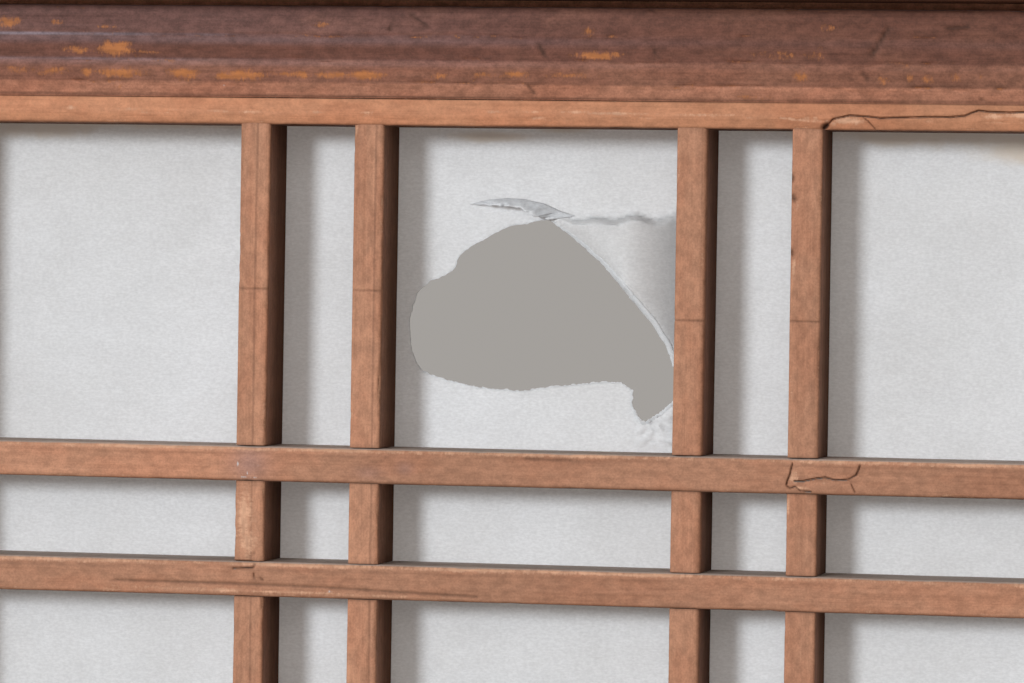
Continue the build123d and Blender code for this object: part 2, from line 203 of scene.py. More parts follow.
# Water stains of the paper, then painted light and painted shade on it, all on the same terms
STAINS = [
    (-112.0, 1.5, 22.0, 4.5, 1.0), (-60.0, 0.0, 40.0, 2.2, 0.9), (28.0, 3.2, 14.0, 2.2, 0.9),
    (50.0, 0.6, 10.0, 1.8, 0.8), (120.0, 0.0, 12.0, 2.0, 0.8), (155.0, 1.0, 34.0, 4.0, 1.0),
    (190.0, 5.0, 20.0, 6.0, 1.1),
]
PAINTED_LIGHT_SPOTS = [
    (-60.0, 80.0, 30.0, 42.0, 1.0), (-45.0, 60.0, 8.0, 60.0, 1.0), (30.0, 90.0, 40.0, 14.0, 1.0),
]
PAINTED_SHADE_SPOTS = [
    (160.0, 60.0, 26.0, 90.0, 1.0), (22.0, 120.0, 60.0, 14.0, 0.3), (-80.0, 6.0, 60.0, 24.0, 1.6),
]
# Cracks, cuts and dents: width, depth, darkness and path
CUTS = [
    (0.19, 1.0, 0.7, [
        (130.4, 0.6), (131.9, -1.1), (133.3, -2.6), (138.2, -3.7), (143.5, -3.4), (147.0, -3.0),
        (154.2, -3.3), (161.4, -3.5), (167.2, -3.5), (171.5, -3.9), (173.5, -4.8), (175.5, -5.5),
        (178.7, -5.1), (184.5, -5.0), (190.2, -5.2), (199.0, -5.4),
    ]),
    (0.15, 0.5, 0.7, [(141.7, -3.5), (143.5, -2.1), (145.6, 0.2)]),
    (0.55, 1.6, 1.0, [(130.6, 0.0), (131.6, -0.9)]),
    (0.19, 0.7, 0.8, [(123.0, 97.4), (122.6, 99.2), (122.2, 101.0), (121.7, 102.0), (121.3, 103.6)]),
    (0.17, 0.6, 0.7, [(121.3, 103.8), (122.4, 104.6), (123.8, 104.0), (125.4, 105.2), (128.6, 105.4)]),
    (0.19, 0.8, 0.8, [(123.6, 102.4), (126.2, 102.4), (129.7, 101.6), (132.6, 101.2), (135.6, 101.9),
                      (139.4, 101.6), (141.6, 100.3), (142.3, 98.8), (142.7, 97.6)]),
    (0.15, 0.5, 0.6, [(140.2, 102.9), (141.4, 105.3)]),
    (0.20, 0.5, 0.7, [(-43.3, 129.9), (-37.5, 130.0)]),
    (0.20, 0.5, 0.6, [(-38.7, 128.7), (-37.5, 127.8)]),
    (0.22, 0.6, 0.8, [(-43.5, 132.2), (-37.5, 131.9), (-37.0, 130.9)]),
    (0.20, 0.4, 0.6, [(-37.2, 133.6), (-37.0, 135.2)]),
    (0.20, 0.4, 0.6, [(-35.3, 134.8), (-34.4, 135.4)]),
    (0.34, 0.2, 0.5, [(-80.0, 136.6), (-44.0, 136.7), (-17.0, 137.1), (10.0, 138.0), (30.0, 138.6)]),
    (0.40, 0.1, 0.45, [(44.0, 97.7), (54.0, 98.0), (58.0, 97.9)]),
    (0.45, 0.5, 0.6, [(121.6, 13.8), (121.7, 15.4)]),
    (0.50, 0.6, 0.8, [(121.7, 20.0), (122.3, 20.9)]),
    (0.50, 0.6, 0.7, [(121.6, 35.6), (121.9, 36.8)]),
    (0.20, 0.15, 0.38, [(-43.4, 49.2), (-34.4, 49.4)]),
    (0.20, 0.15, 0.38, [(-9.0, 49.2), (0.0, 49.4)]),
    (0.22, 0.15, 0.45, [(87.0, 56.3), (96.0, 56.5)]),
    (0.22, 0.15, 0.42, [(121.4, 56.0), (130.4, 56.2)]),
    (0.40, 0.25, 0.75, [(2.7, -30.2), (2.1, -27.3)]),
    (0.35, 0.25, 0.6, [(8.1, -32.0), (13.5, -28.5)]),
    (0.40, 0.35, 0.75, [(46.4, -23.8), (48.6, -20.0)]),
    (0.32, 0.30, 0.7, [(80.5, -22.9), (81.7, -20.0)]),
    (0.35, 0.30, 0.6, [(43.6, -11.3), (45.2, -9.2)]),
    (0.50, 0.45, 0.7, [(149.3, -29.0), (146.8, -24.9), (144.8, -21.7)]),
    (0.70, 0.60, 0.8, [(145.3, -22.4), (144.8, -21.7)]),
    (0.45, 0.40, 0.6, [(142.0, -15.9), (143.2, -14.2)]),
    (0.45, 0.40, 0.7, [(166.4, -28.8), (172.1, -29.4)]),
    (0.40, 0.50, 0.7, [(176.2, -8.6), (176.5, -8.4)]),
    (0.35, 0.40, 0.6, [(79.2, -33.7), (79.8, -33.6)]),
]
# Lines scribed across upright bars: how far down
SCRIBED = {"upright_05": 49.3, "upright_06": 49.3, "upright_07": 56.4, "upright_08": 56.1}
# The strong grain line of a bar, from its left edge; two bars show none, so theirs lies far off
LINE_ZERO = 10.0  # so that 0, the value of a piece without a line, is far from one
GRAIN_LINES = {"upright_05": 5.1, "upright_06": 6.6, "upright_07": -20.0, "upright_08": -20.0}

# The part of the lattice that the reference view shows: across and down
SEEN_ACROSS = (-126.0, 200.0)
SEEN_DOWN = (-36.0, 170.0)


def length(name, description, default):
    """A length that can be set, in metres."""
    return FloatProperty(name=name, description=description, default=default, unit="LENGTH")


def tint(name, description, *default):
    """A colour that can be set."""
    return FloatVectorProperty(name=name, description=description, default=default, subtype="COLOR")


def strength(name, description, default):
    """The strength of a light, 0 or more."""
    return FloatProperty(name=name, description=description, default=default, min=0.0)


def angle(name, description, degrees):
    """An angle that can be set."""
    default = math.radians(degrees)
    return FloatProperty(name=name, description=description, default=default, subtype="ANGLE")


class ScreenSizes(bpy.types.PropertyGroup):
    """Sizes of the finish."""

    bar_easing: length("Bar easing", "How far a bar's front arrises are rounded", 0.0009)
    frame_easing: length("Frame easing", "How far rails, stiles and strips are rounded", 0.0006)
    dent_depth: length("Dent depth", "Deepest wear along an arris", 0.00055)
    flap_bulge: length("Flap bulge", "How far the torn flap stands before the paper", 0.009)
    lip_rise: length("Lip rise", "How far the curled lip above the tear stands out", 0.0042)
    rim_width: length("Rim width", "Width of the torn fibres along the flap's edge", 0.0017)
    paper_thickness: length("Paper thickness", "Thickness of the paper", 0.0002)


class ScreenColours(bpy.types.PropertyGroup):
    """Colours of the finish."""

    lattice: tint("Lattice", "Aged wood of the bars", 0.445, 0.218, 0.132)
    strip: tint("Strip", "Orange wood of the inner strips", 0.60, 0.27, 0.148)
    rail: tint("Rail", "Darkened wood of the rails and stiles", 0.40, 0.175, 0.108)
    opening: tint("Opening frame", "Dark wood of the head, sill and jambs", 0.08, 0.032, 0.017)
    worn: tint("Worn", "Bare wood where rails and stiles have rubbed off", 0.51, 0.185, 0.06)
    rubbed: tint("Rubbed", "Pale wood where bars and strips have rubbed off", 0.72, 0.405, 0.26)
    soot: tint("Soot", "Dark film on the top rail and along the stiles", 0.13, 0.05, 0.034)
    # Also the colour of painted shade in corners, seams and along the crossbars' arrises.
    grime_and_shade: tint("Grime", "Dirt in cracks and corners", 0.035, 0.016, 0.01)
    # Also a painted sheen: bluish highlights along the top rail's arrises.
    haze_and_sheen: tint("Haze", "Bluish film along the arrises of the top rail", 0.23, 0.19, 0.22)
    dust: tint("Dust", "Grey dust on ledges", 0.43, 0.37, 0.33)
    paper: tint("Paper", "Cool off-white paper", 0.86, 0.87, 0.885)
    stain: tint("Stain", "Water stain on the paper", 0.74, 0.64, 0.53)
    floor: tint("Floor", "Plain pale floor", 0.62, 0.61, 0.60)
    backdrop: tint("Backdrop", "Plain colour behind the object", 0.37, 0.35, 0.33)


class ScreenLight(bpy.types.PropertyGroup):
    """Light of the stage."""

    key_strength: strength("Key strength", "Strength of the key lamp", 2.45)
    key_size: angle("Key size", "Angle under which the key lamp is seen", 12.5)
    fill_strength: strength("Fill strength", "Strength of the wide lamp in front", 0.5)
    back_strength: strength("Back strength", "Strength of the lamp that shines through the paper", 1.38)
    fill_size: angle("Fill size", "Angle under which the two wide lamps are seen", 40.0)
    world_strength: strength("World strength", "Even light from all round", 0.13)


def smooth_step(value, low, high):
    """0 below low, 1 above high and 3t^2 - 2t^3 between."""
    share = np.clip((value - low) / (high - low), 0.0, 1.0)
    return share * share * (3 - 2 * share)


def bell(value, centre, width):
    """1 at the centre, falling off as exp(-((value - centre) / width)^2)."""
    return np.exp(-(((value - centre) / width) ** 2))


def value_noise(seed, *axes):
    """Noise from -1 to 1: random values at whole-number places, blended by 3t^2 - 2t^3."""
    places = np.stack(np.broadcast_arrays(*axes), -1)
    table = np.random.default_rng(seed).uniform(-1, 1, 4096)
    mixers = np.array([73856093, 19349663, 83492791])
    cell = np.floor(places).astype(np.int64)
    share = places - cell
    blend = share * share * (3 - 2 * share)
    total = np.zeros(places.shape[:-1])
    for corner in np.ndindex((2,) * len(axes)):
        keys = (cell + corner) * mixers[: len(axes)]
        weight = np.prod(np.where(np.array(corner) == 1, blend, 1 - blend), axis=-1)
        total += weight * table[np.bitwise_xor.reduce(keys, axis=-1) % len(table)]
    return total


def patches(across, down, places):
    """The highest of a set of bells, each its strength times exp(-(dx/w)^2 - (dz/h)^2)."""
    total = np.zeros(across.shape)
    for centre_across, centre_down, half_length, half_height, strength in places:
        spread = ((across - centre_across) / half_length) ** 2 + ((down - centre_down) / half_height) ** 2
        total = np.maximum(total, strength * np.exp(-spread))
    return total


def nearest_on_path(places, path):
    """Distance from each place to a path of straight runs, and the closest place on it."""
    path = np.array(path, float)
    distance = np.full(len(places), np.inf)
    closest = np.zeros_like(places)
    for start, end in zip(path[:-1], path[1:]):
        run = end - start
        share = np.clip((places - start) @ run / (run @ run), 0.0, 1.0)
        spot = start + share[:, None] * run
        gap = np.linalg.norm(places - spot, axis=1)
        closer = gap < distance
        distance = np.where(closer, gap, distance)
        closest = np.where(closer[:, None], spot, closest)
    return distance, closest


def eased_outline(corners, easings, spacings):
    """A closed outline whose corners are quadratic curves.

    Each curve starts and ends its easing away from its corner, and the straight stretch
    after a corner is divided no wider than its spacing. Returns the places, their outward
    normals and how near each is to a corner that wears: exp(-(distance / reach)^2).
    """
    corners = np.array(corners, float)
    count = len(corners)
    curves = []
    for number, easing in enumerate(easings):
        corner, before, after = corners[number], corners[number - 1], corners[(number + 1) % count]
        start = corner + easing * (before - corner) / np.linalg.norm(before - corner)
        end = corner + easing * (after - corner) / np.linalg.norm(after - corner)
        share = np.linspace(0, 1, (CURVE_STEPS if easing > CURVED_FROM else 1) + 1)[:, None]
        curves.append((1 - share) ** 2 * start + 2 * share * (1 - share) * corner + share**2 * end)
    stretches = []
    for number, curve in enumerate(curves):
        start, end = curve[-1], curves[(number + 1) % count][0]
        span = np.linalg.norm(end - start)
        margin = min(CURVE_MARGIN, span / 4)
        inner = np.linspace(margin, span - margin, max(2, math.ceil(span / spacings[number])))
        stretches += [curve, start + inner[:, None] / span * (end - start)]
    places = np.concatenate(stretches)
    ahead, behind = np.roll(places, -1, axis=0), np.roll(places, 1, axis=0)
    tangents = ahead - behind
    turned = np.stack([tangents[:, 1], -tangents[:, 0]], axis=1)
    area = np.sum(places[:, 0] * ahead[:, 1] - ahead[:, 0] * places[:, 1])
    normals = math.copysign(1, area) * turned / np.linalg.norm(turned, axis=1, keepdims=True)
    eased = corners[np.array(easings) > CURVED_FROM]
    gaps = np.linalg.norm(places[:, None] - eased[None], axis=2).min(axis=1)
    return places, normals, bell(gaps, 0.0, ARRIS_REACH)


def seen_range(start, end, step):
    """A range that sections divides by a step, given across from the torn cell."""
    return TORN_CELL_LEFT + start, TORN_CELL_LEFT + end, step


def sections(start, end, spacing, fine=(), edges=()):
    """Places along a member: spaced evenly, closer in each fine range, doubled at each edge."""
    places = [np.linspace(start, end, math.ceil((end - start) / spacing) + 1)]
    for low, high, step in fine:
        low, high = max(low, start), min(high, end)
        if high > low:
            places.append(np.arange(low, high, step))
    for edge in edges:
        places.append(edge + np.array(EDGE_OFFSETS))
    places = np.unique(np.round(np.clip(np.concatenate(places), start, end), 3))
    spread = np.diff(places, prepend=places[0] - 1)
    return places[spread > CLOSEST_SECTIONS]


def carry(kind, number, outline, places, upright, dent, clamps=()):
    """A member: the outline carried along its places, with worn arrises.

    A point moves in along its normal by the dent depth times noise above a limit times its
    nearness to an arris, and the whole section sways by slow noise. Each clamp then holds
    the section inside a box over a range, which cuts notches, tenons and tongues. Returns
    the points, how far each looks back along Y, and how worn it is.
    """
    seed = SEEDS[kind] + 10 * number
    flat, normals, nearness = outline
    along = np.repeat(places[:, None], len(flat), axis=1)
    rows = np.broadcast_to(np.arange(len(flat)), along.shape)
    coarse = value_noise(seed, along / 11.0, rows / 4.0)
    small = value_noise(seed + 1, along / 2.7, rows / 2.0)
    dents = np.clip(0.75 * coarse + 0.55 * small - 0.25, 0, None) * nearness * dent
    planing = PLANING * value_noise(seed + 2, along / 17.0, rows / 5.0)
    sway = SWAY * value_noise(seed + 3, places / 160.0, 0.0)
    section = flat + normals * (planing - dents)[..., None]
    section[..., 0] += sway[:, None]
    for start, end, low, high in clamps:
        held = (along > start) & (along < end)
        section = np.where(held[..., None], np.clip(section, low, high), section)
    across, depth = section[..., 0], section[..., 1]
    points = np.stack([across, depth, along] if upright else [along, depth, across], -1)
    worn = nearness * smooth_step(0.7 * coarse + 0.5 * small, 0.15, 0.9)
    return points, np.broadcast_to(normals[:, 1], along.shape), worn


def add_marks(points, facing, worn):
    """Cuts the cracks and dents into the front faces and says what each vertex shows.

    Returns the points with their depth changed, and the grime, worn and paste shares.
    """
    points = points.copy()
    across = points[..., 0] - TORN_CELL_LEFT
    down = LATTICE_TOP - points[..., 2]
    front = smooth_step(-facing, 0.2, 0.7)
    grime_and_shade = np.zeros(across.shape)
    cut = np.zeros(across.shape)
    inside = (across > SEEN_ACROSS[0]) & (across < SEEN_ACROSS[1]) & (front > 0)
    inside &= (down > SEEN_DOWN[0]) & (down < SEEN_DOWN[1])
    spots = np.stack([across[inside], down[inside]], -1)
    if len(spots):
        ragged = value_noise(83, *(spots / 0.9).T)
        for width, depth, darkness, path in CUTS:
            distance = nearest_on_path(spots, path)[0] + 0.08 * ragged
            groove = bell(distance, 0.0, width * (1 + 0.45 * ragged))
            cut[inside] = np.maximum(cut[inside], depth * groove)
            grime_and_shade[inside] = np.maximum(grime_and_shade[inside], darkness * np.sqrt(groove))
    points[..., 1] += cut * front
    return points, {
        "grime_and_shade": grime_and_shade * front,
        "worn": np.maximum(worn * 0.6, patches(across, down, WORN_PATCHES) * front),
        "paste": patches(across, down, PASTE_DABS) * front,
    }


def tube_faces(rows, columns):
    """Quads between neighbouring sections, whose columns close into a ring."""
    first = np.arange(columns)
    second = (first + 1) % columns
    base = np.arange(rows - 1)[:, None] * columns
    corners = [base + first, base + second, base + columns + second, base + columns + first]
    return np.stack(corners, -1).reshape(-1, 4)


def sheet_faces(rows, columns):
    """Quads of an open grid."""
    return tube_faces(rows, columns).reshape(rows - 1, columns, 4)[:, :-1].reshape(-1, 4)


def signed_volume(points, quads):
    """Six times the volume inside quads, above 0 if they point outwards."""
    first, second, third, fourth = (points[quads[:, side]] for side in range(4))
    halves = np.cross(second, third) + np.cross(third, fourth)
    return float(np.sum(first * halves))


def put_object(name, data):
    """An object in the scene that holds a mesh, a lamp or a camera."""
    item = bpy.data.objects.new(name, data)
    bpy.context.scene.collection.objects.link(item)
    return item


def put_piece(name, points, faces, finish, replaced, body, attributes):
    """Writes a mesh in metres, smooth but for its sharp edges, and rides it on its body."""
    mesh = bpy.data.meshes.new(name)
    mesh.from_pydata((points.reshape(-1, 3) * MM).tolist(), [], faces)
    for attribute, values in attributes.items():
        layer = mesh.attributes.new(attribute, "FLOAT", "POINT")
        layer.data.foreach_set("value", np.ascontiguousarray(values, np.float32).ravel())
    mesh.polygons.foreach_set("use_smooth", np.ones(len(mesh.polygons), bool))
    mesh.set_sharp_from_angle(angle=SHARP_ANGLE)
    mesh.materials.append(bpy.data.materials[finish])
    mesh.validate()
    mesh.update()
    piece = put_object(name, mesh)
    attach(piece, body)
    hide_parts(*replaced)
    return piece


def put_member(name, points, slot, along, node, attributes):
    """A closed member: the tube between its sections, capped at both ends."""
    rows, columns = points.shape[:2]
    quads = tube_faces(rows, columns)
    first_cap = np.arange(columns)[::-1]
    if signed_volume(points.reshape(-1, 3), quads) < 0:
        quads = quads[:, ::-1]
        first_cap = first_cap[::-1]
    last_cap = (rows - 1) * columns + first_cap[::-1]
    faces = quads.tolist() + [first_cap.tolist(), last_cap.tolist()]
    put_piece(name, points, faces, f"{slot}_{along}", [node], "leaf", attributes)


class Nodes:
    """The nodes of one material or world."""

    def __init__(self, tree):
        self.tree = tree
        tree.nodes.clear()

    def add(self, kind, inputs=None, output=0, **settings):
        """Adds a node, sets it, fills its sockets with values or links, and gives an output."""
        node = self.tree.nodes.new(kind)
        for setting, value in settings.items():
            setattr(node, setting, value)
        for key, value in (inputs or {}).items():
            if isinstance(value, Socket):
                self.tree.links.new(value.socket, node.inputs[key])
            else:
                node.inputs[key].default_value = value
        return Socket(self, node.outputs[output]) if len(node.outputs) else node

    def noise(self, vector, detail, roughness=0.5, distortion=0.0, scale=1.0):
        """Noise about 0.5."""
        inputs = {"Vector": vector, "Scale": scale, "Detail": detail, "Roughness": roughness}
        inputs["Distortion"] = distortion
        return self.add("ShaderNodeTexNoise", inputs, "Fac")

    def stretch(self, vector, factors):
        """The vector times a factor on each axis."""
        return self.add("ShaderNodeVectorMath", {0: vector, 1: factors}, operation="MULTIPLY")

    def scale(self, vector, factor):
        """The vector or colour times a number."""
        return self.add("ShaderNodeVectorMath", {0: vector, "Scale": factor}, operation="SCALE")

    def mix(self, share, first, second):
        """One colour turned into another by a share."""
        return self.add("ShaderNodeMix", {0: share, 6: first, 7: second}, 2, data_type="RGBA")

    def step(self, value, low, high, low_result=0.0, high_result=1.0):
        """Smooth step of a value between two limits."""
        inputs = {0: value, 1: low, 2: high, 3: low_result, 4: high_result}
        return self.add("ShaderNodeMapRange", inputs, interpolation_type="SMOOTHSTEP")

    def attribute(self, name):
        """A number kept on the piece's vertices."""
        return self.add("ShaderNodeAttribute", output="Fac", attribute_name=name)

    def bump(self, height, strength, distance):
        """A normal that follows a height."""
        inputs = {"Height": height, "Strength": strength, "Distance": distance}
        return self.add("ShaderNodeBump", inputs)


class Socket:
    """An output of a node. Arithmetic with other outputs or numbers adds Math nodes."""

    def __init__(self, nodes, socket):
        self.nodes = nodes
        self.socket = socket

    def math(self, operation, *operands):
        """The operands through one Math node."""
        return self.nodes.add("ShaderNodeMath", dict(enumerate(operands)), operation=operation)

    def upward(self):
        """The upward part of a vector."""
        return self.nodes.add("ShaderNodeSeparateXYZ", {0: self}, "Z")

    def clamped(self):
        """This value kept from 0 to 1."""
        return self.nodes.add("ShaderNodeClamp", {0: self})

    def __add__(self, other):
        return self.math("ADD", self, other)

    def __radd__(self, other):
        return self.math("ADD", other, self)

    def __sub__(self, other):
        return self.math("SUBTRACT", self, other)

    def __rsub__(self, other):
        return self.math("SUBTRACT", other, self)

    def __mul__(self, other):
        return self.math("MULTIPLY", self, other)

    def __rmul__(self, other):
        return self.math("MULTIPLY", other, self)

    def __abs__(self):
        return self.math("ABSOLUTE", self)


def shade(colour, factor=1.0):
    """A colour times a factor, opaque."""
    return (*[min(1.0, part * factor) for part in colour], 1.0)


def flank_dirt_and_shade_colour(colour):
    """The darker, redder colour of a bar's sides: partly their own unwiped colour, partly painted shade."""
    return (0.15 * colour[0], 0.10 * colour[1], 0.05 * colour[2], 1.0)


def cool(colour, factor):
    """A colour times a factor, a little bluer."""
    return shade((0.985 * colour[0], colour[1], 1.02 * colour[2]), factor)


def new_finish(name):
    """A material without a surface yet, its nodes and its Object coordinates."""
    material = bpy.data.materials.new(name)
    material.use_nodes = True
    nodes = Nodes(material.node_tree)
    return material, nodes, nodes.add("ShaderNodeTexCoord", output="Object")


def wood(name, colour, bare_colour, colours, along, dusty, contrast=1.0):
    """Aged wood whose grain runs along X or Z.

    Soot, flanks darkened by dirt and painted shade, and haze with a painted sheen change its
    colour, and stretched noises its brightness. Worn places turn to bare wood, faces that look
    up are dusty, cracks are grimy, and corners and seams get grime and painted shade.
    """
    nodes, place = new_finish(name)[1:]

    def grain(lengthwise, crosswise, detail, roughness):
        """Noise with its own scale along the grain and across it."""
        factors = [crosswise] * 3
        factors[0 if along == "X" else 2] = lengthwise
        return nodes.noise(nodes.stretch(place, tuple(factors)), detail, roughness)

    tone = grain(5.0, 38.0, 3.0, 0.55)
    cloud = grain(45.0, 110.0, 3.0, 0.6)
    mottle = grain(230.0, 420.0, 4.0, 0.65)
    streaks = grain(14.0, 900.0, 4.0, 0.6)
    fibres = grain(60.0, 3200.0, 2.0, 0.5)
    pores = grain(1500.0, 1500.0, 3.0, 0.7)
    speckle = grain(180.0, 650.0, 2.0, 0.6)
    ragged = grain(900.0, 420.0, 4.0, 0.75)

    redder = (colour[0], 0.9 * colour[1], 0.86 * colour[2], 1.0)
    base = nodes.mix(nodes.step(cloud, 0.4, 0.65) * 0.6, shade(colour, 1.04), redder)
    sooty = nodes.attribute("soot") * nodes.step(cloud, 0.15, 0.6, 0.82, 1.08)
    base = nodes.mix(sooty.clamped(), base, shade(colours.soot))
    # Sides of bars and strips: partly dirtier wood, partly painted shade that darkens further back.
    base = nodes.mix(nodes.attribute("flank_dirt_and_shade") * 0.95, base, flank_dirt_and_shade_colour(colour))
    # Dust film with a painted sheen along the top rail's arrises.
    hazy_sheen = nodes.attribute("haze_and_sheen") * nodes.step(tone, 0.25, 0.6, 0.6, 1.1)
    base = nodes.mix(hazy_sheen, base, shade(colours.haze_and_sheen))

    value = nodes.step(tone, 0.3, 0.7, 1 - 0.14 * contrast, 1 + 0.12 * contrast)
    # Each noise, its limits, and how much brighter the wood is at the lower and the upper one
    for noise, low, high, at_low, at_high in (
        (mottle, 0.3, 0.7, 0.14, -0.2),
        (streaks, 0.5, 0.8, 0.0, -0.16),
        (streaks, 0.2, 0.5, 0.1, 0.0),
        (fibres, 0.5, 0.8, 0.0, -0.1),
        (pores, 0.35, 0.7, 0.06, -0.13),
    ):
        value = value * nodes.step(noise, low, high, 1 + at_low * contrast, 1 + at_high * contrast)
    from_line = abs(nodes.attribute("line") - LINE_ZERO + (cloud - 0.5) * 0.5)
    value = value * nodes.step(from_line, 0.1, 0.55, 0.74, 1.0)
    base = nodes.scale(base, value * (nodes.attribute("tint") + 1.0))

    worn = nodes.attribute("worn") + (ragged - 0.5) * 1.9 + (mottle - 0.5) * 1.6
    worn = nodes.step(worn, 0.2, 1.0) * nodes.step(nodes.attribute("worn"), 0.06, 0.3)
    bare = nodes.mix(nodes.step(speckle, 0.35, 0.65), shade(bare_colour, 1.05), shade(bare_colour, 0.78))
    base = nodes.mix(worn * 0.85, base, bare)

    ledge = nodes.step(nodes.add("ShaderNodeNewGeometry", output="Normal").upward(), 0.55, 0.9)
    dust = ledge * nodes.step(grain(40.0, 160.0, 4.0, 0.65), 0.2, 0.55, 0.5, 1.0)
    dust = dust * nodes.step(pores, 0.3, 0.7, 1.0, 0.75) * dusty
    base = nodes.mix(dust.clamped(), base, shade(colours.dust))

    # Grime in cracks, and painted shade in corners, seams and along arrises.
    grime_and_shade = nodes.attribute("grime_and_shade") * nodes.step(ragged, 0.1, 0.5, 0.7, 1.0)
    base = nodes.mix(grime_and_shade.clamped(), base, shade(colours.grime_and_shade))
    paste = nodes.attribute("paste") + (ragged - 0.5) * 1.6
    paste = nodes.step(paste, 0.45, 0.85) * nodes.step(nodes.attribute("paste"), 0.05, 0.3, 0.0, 0.7)
    base = nodes.mix(paste, base, shade(colours.paper, 0.7))

    height = streaks * 0.5 + fibres * 0.35 + speckle * 0.3
    roughness = 0.64 + (streaks - 0.5) * 0.25 + dust * 0.2 + nodes.attribute("flank_dirt_and_shade") * 0.24
    inputs = {"Base Color": base, "Roughness": roughness.clamped(), "Specular IOR Level": 0.15}
    inputs["Normal"] = nodes.bump(height, 0.55, 0.00025)
    nodes.add("ShaderNodeOutputMaterial", {"Surface": nodes.add("ShaderNodeBsdfPrincipled", inputs)})


def paper_finish(colours):
    """Fibrous off-white paper, stained under the top strip and brighter along its torn rims.

    Light comes through it, a little less where it is stained or where shade is painted.
    """
    nodes, place = new_finish("torn_paper")[1:]
    cloud = nodes.noise(nodes.stretch(place, (22.0, 22.0, 22.0)), 4.0, 0.6)
    pulp = nodes.noise(nodes.stretch(place, (900.0, 900.0, 1300.0)), 3.0, 0.55)
    fibres = nodes.noise(nodes.stretch(place, (420.0, 900.0, 2000.0)), 3.0, 0.55, 1.2)
    blotch = nodes.noise(nodes.stretch(place, (70.0, 70.0, 110.0)), 5.0, 0.7)
    # The tone attribute carries painted light and painted shade; the cloud noise adds random tone.
    tone = (nodes.attribute("tone") * 0.3 + nodes.step(cloud, 0.3, 0.7) * 0.35 + 0.33).clamped()
    base = nodes.mix(tone, shade(colours.paper, 0.9), cool(colours.paper, 1.08))
    value = nodes.step(pulp, 0.3, 0.7, 1.07, 0.91) * nodes.step(blotch, 0.3, 0.7, 1.02, 0.97)
    base = nodes.scale(base, value * nodes.step(fibres, 0.35, 0.7, 0.95, 1.06))
    stain = nodes.step(nodes.attribute("stain") + (blotch - 0.5) * 0.9, 0.25, 0.8)
    stained = stain * nodes.step(nodes.attribute("stain"), 0.02, 0.2)
    base = nodes.mix(stained * 0.85, base, shade(colours.stain, 0.98))
    base = nodes.mix(nodes.attribute("shadowed").clamped() * 0.55, base, shade(colours.paper, 0.4))
    base = nodes.mix(nodes.attribute("rim").clamped(), base, shade(colours.paper, 1.1))
    height = pulp * 0.6 + fibres * 0.5 + cloud * 0.3
    inputs = {"Base Color": base, "Roughness": 0.85, "Specular IOR Level": 0.2}
    inputs["Normal"] = nodes.bump(height, 0.4, 0.0003)
    shader = nodes.add("ShaderNodeBsdfPrincipled", inputs)
    through = nodes.add("ShaderNodeBsdfTranslucent", {"Color": shade(colours.paper, 0.97)})
    # Less light comes through where shade is painted.
    share = 0.45 - stained * 0.04 - nodes.attribute("shadowed").clamped() * 0.2
    shader = nodes.add("ShaderNodeMixShader", {0: share, 1: shader, 2: through})
    nodes.add("ShaderNodeOutputMaterial", {"Surface": shader})


def past_line(across, place, seed, along, facing):
    """Millimetres past a bar's strong grain line, which wanders by slow noise, plus LINE_ZERO.

    A bar's sides lie 9 mm further on, so that the line stays on its front.
    """
    wander = 0.25 * value_noise(seed, along / 60.0, 0.0)
    return LINE_ZERO + across - place - wander + 9.0 * smooth_step(facing, -0.6, -0.2)


def flank_dirt_and_shade(points):
    """0 on a bar's front, growing to 1 along its sides: painted shade, with some dirt, darker further back.
    """
    depth = points[..., 1] - BAR_FRONT
    return 0.45 * smooth_step(depth, 0.0, 3.0) + 0.55 * smooth_step(depth, 2.0, 16.0)


def corner_grime_and_shade(along, edges, reach):
    """Dirt and painted shade where members meet: exp(-distance/reach) to the nearest edge."""
    edges = np.sort(np.array(edges))
    after = np.clip(np.searchsorted(edges, along), 1, len(edges) - 1)
    distance = np.minimum(np.abs(along - edges[after - 1]), np.abs(along - edges[after]))
    return np.exp(-distance / reach)


def crossings(bars, axis):
    """Where bars cross the others, with a little play: lowest and highest place of each."""
    boxes = [bar_box(bar) for bar in bars]
    return [(low[axis] - CROSSING_PLAY, high[axis] + CROSSING_PLAY) for low, high in boxes]


def bar_outline(low, high, easings, face_spacing):
    """The section of a bar between two places: its front arrises eased, its back ones crisp."""
    corners = [(low, BAR_FRONT), (high, BAR_FRONT), (high, BAR_BACK), (low, BAR_BACK)]
    return eased_outline(corners, [*easings, CRISP, CRISP], [face_spacing, 7.0, 9.0, 7.0])


def bar_clamps(crossed, low, high, start, end):
    """The box that holds a bar at each crossing, and its tenons past both ends of the lattice."""
    tenon = ((-np.inf, BAR_MIDDLE - TENON_HALF), (np.inf, BAR_MIDDLE + TENON_HALF))
    return [(*pair, low, high) for pair in crossed] + [(-np.inf, start, *tenon), (end, np.inf, *tenon)]


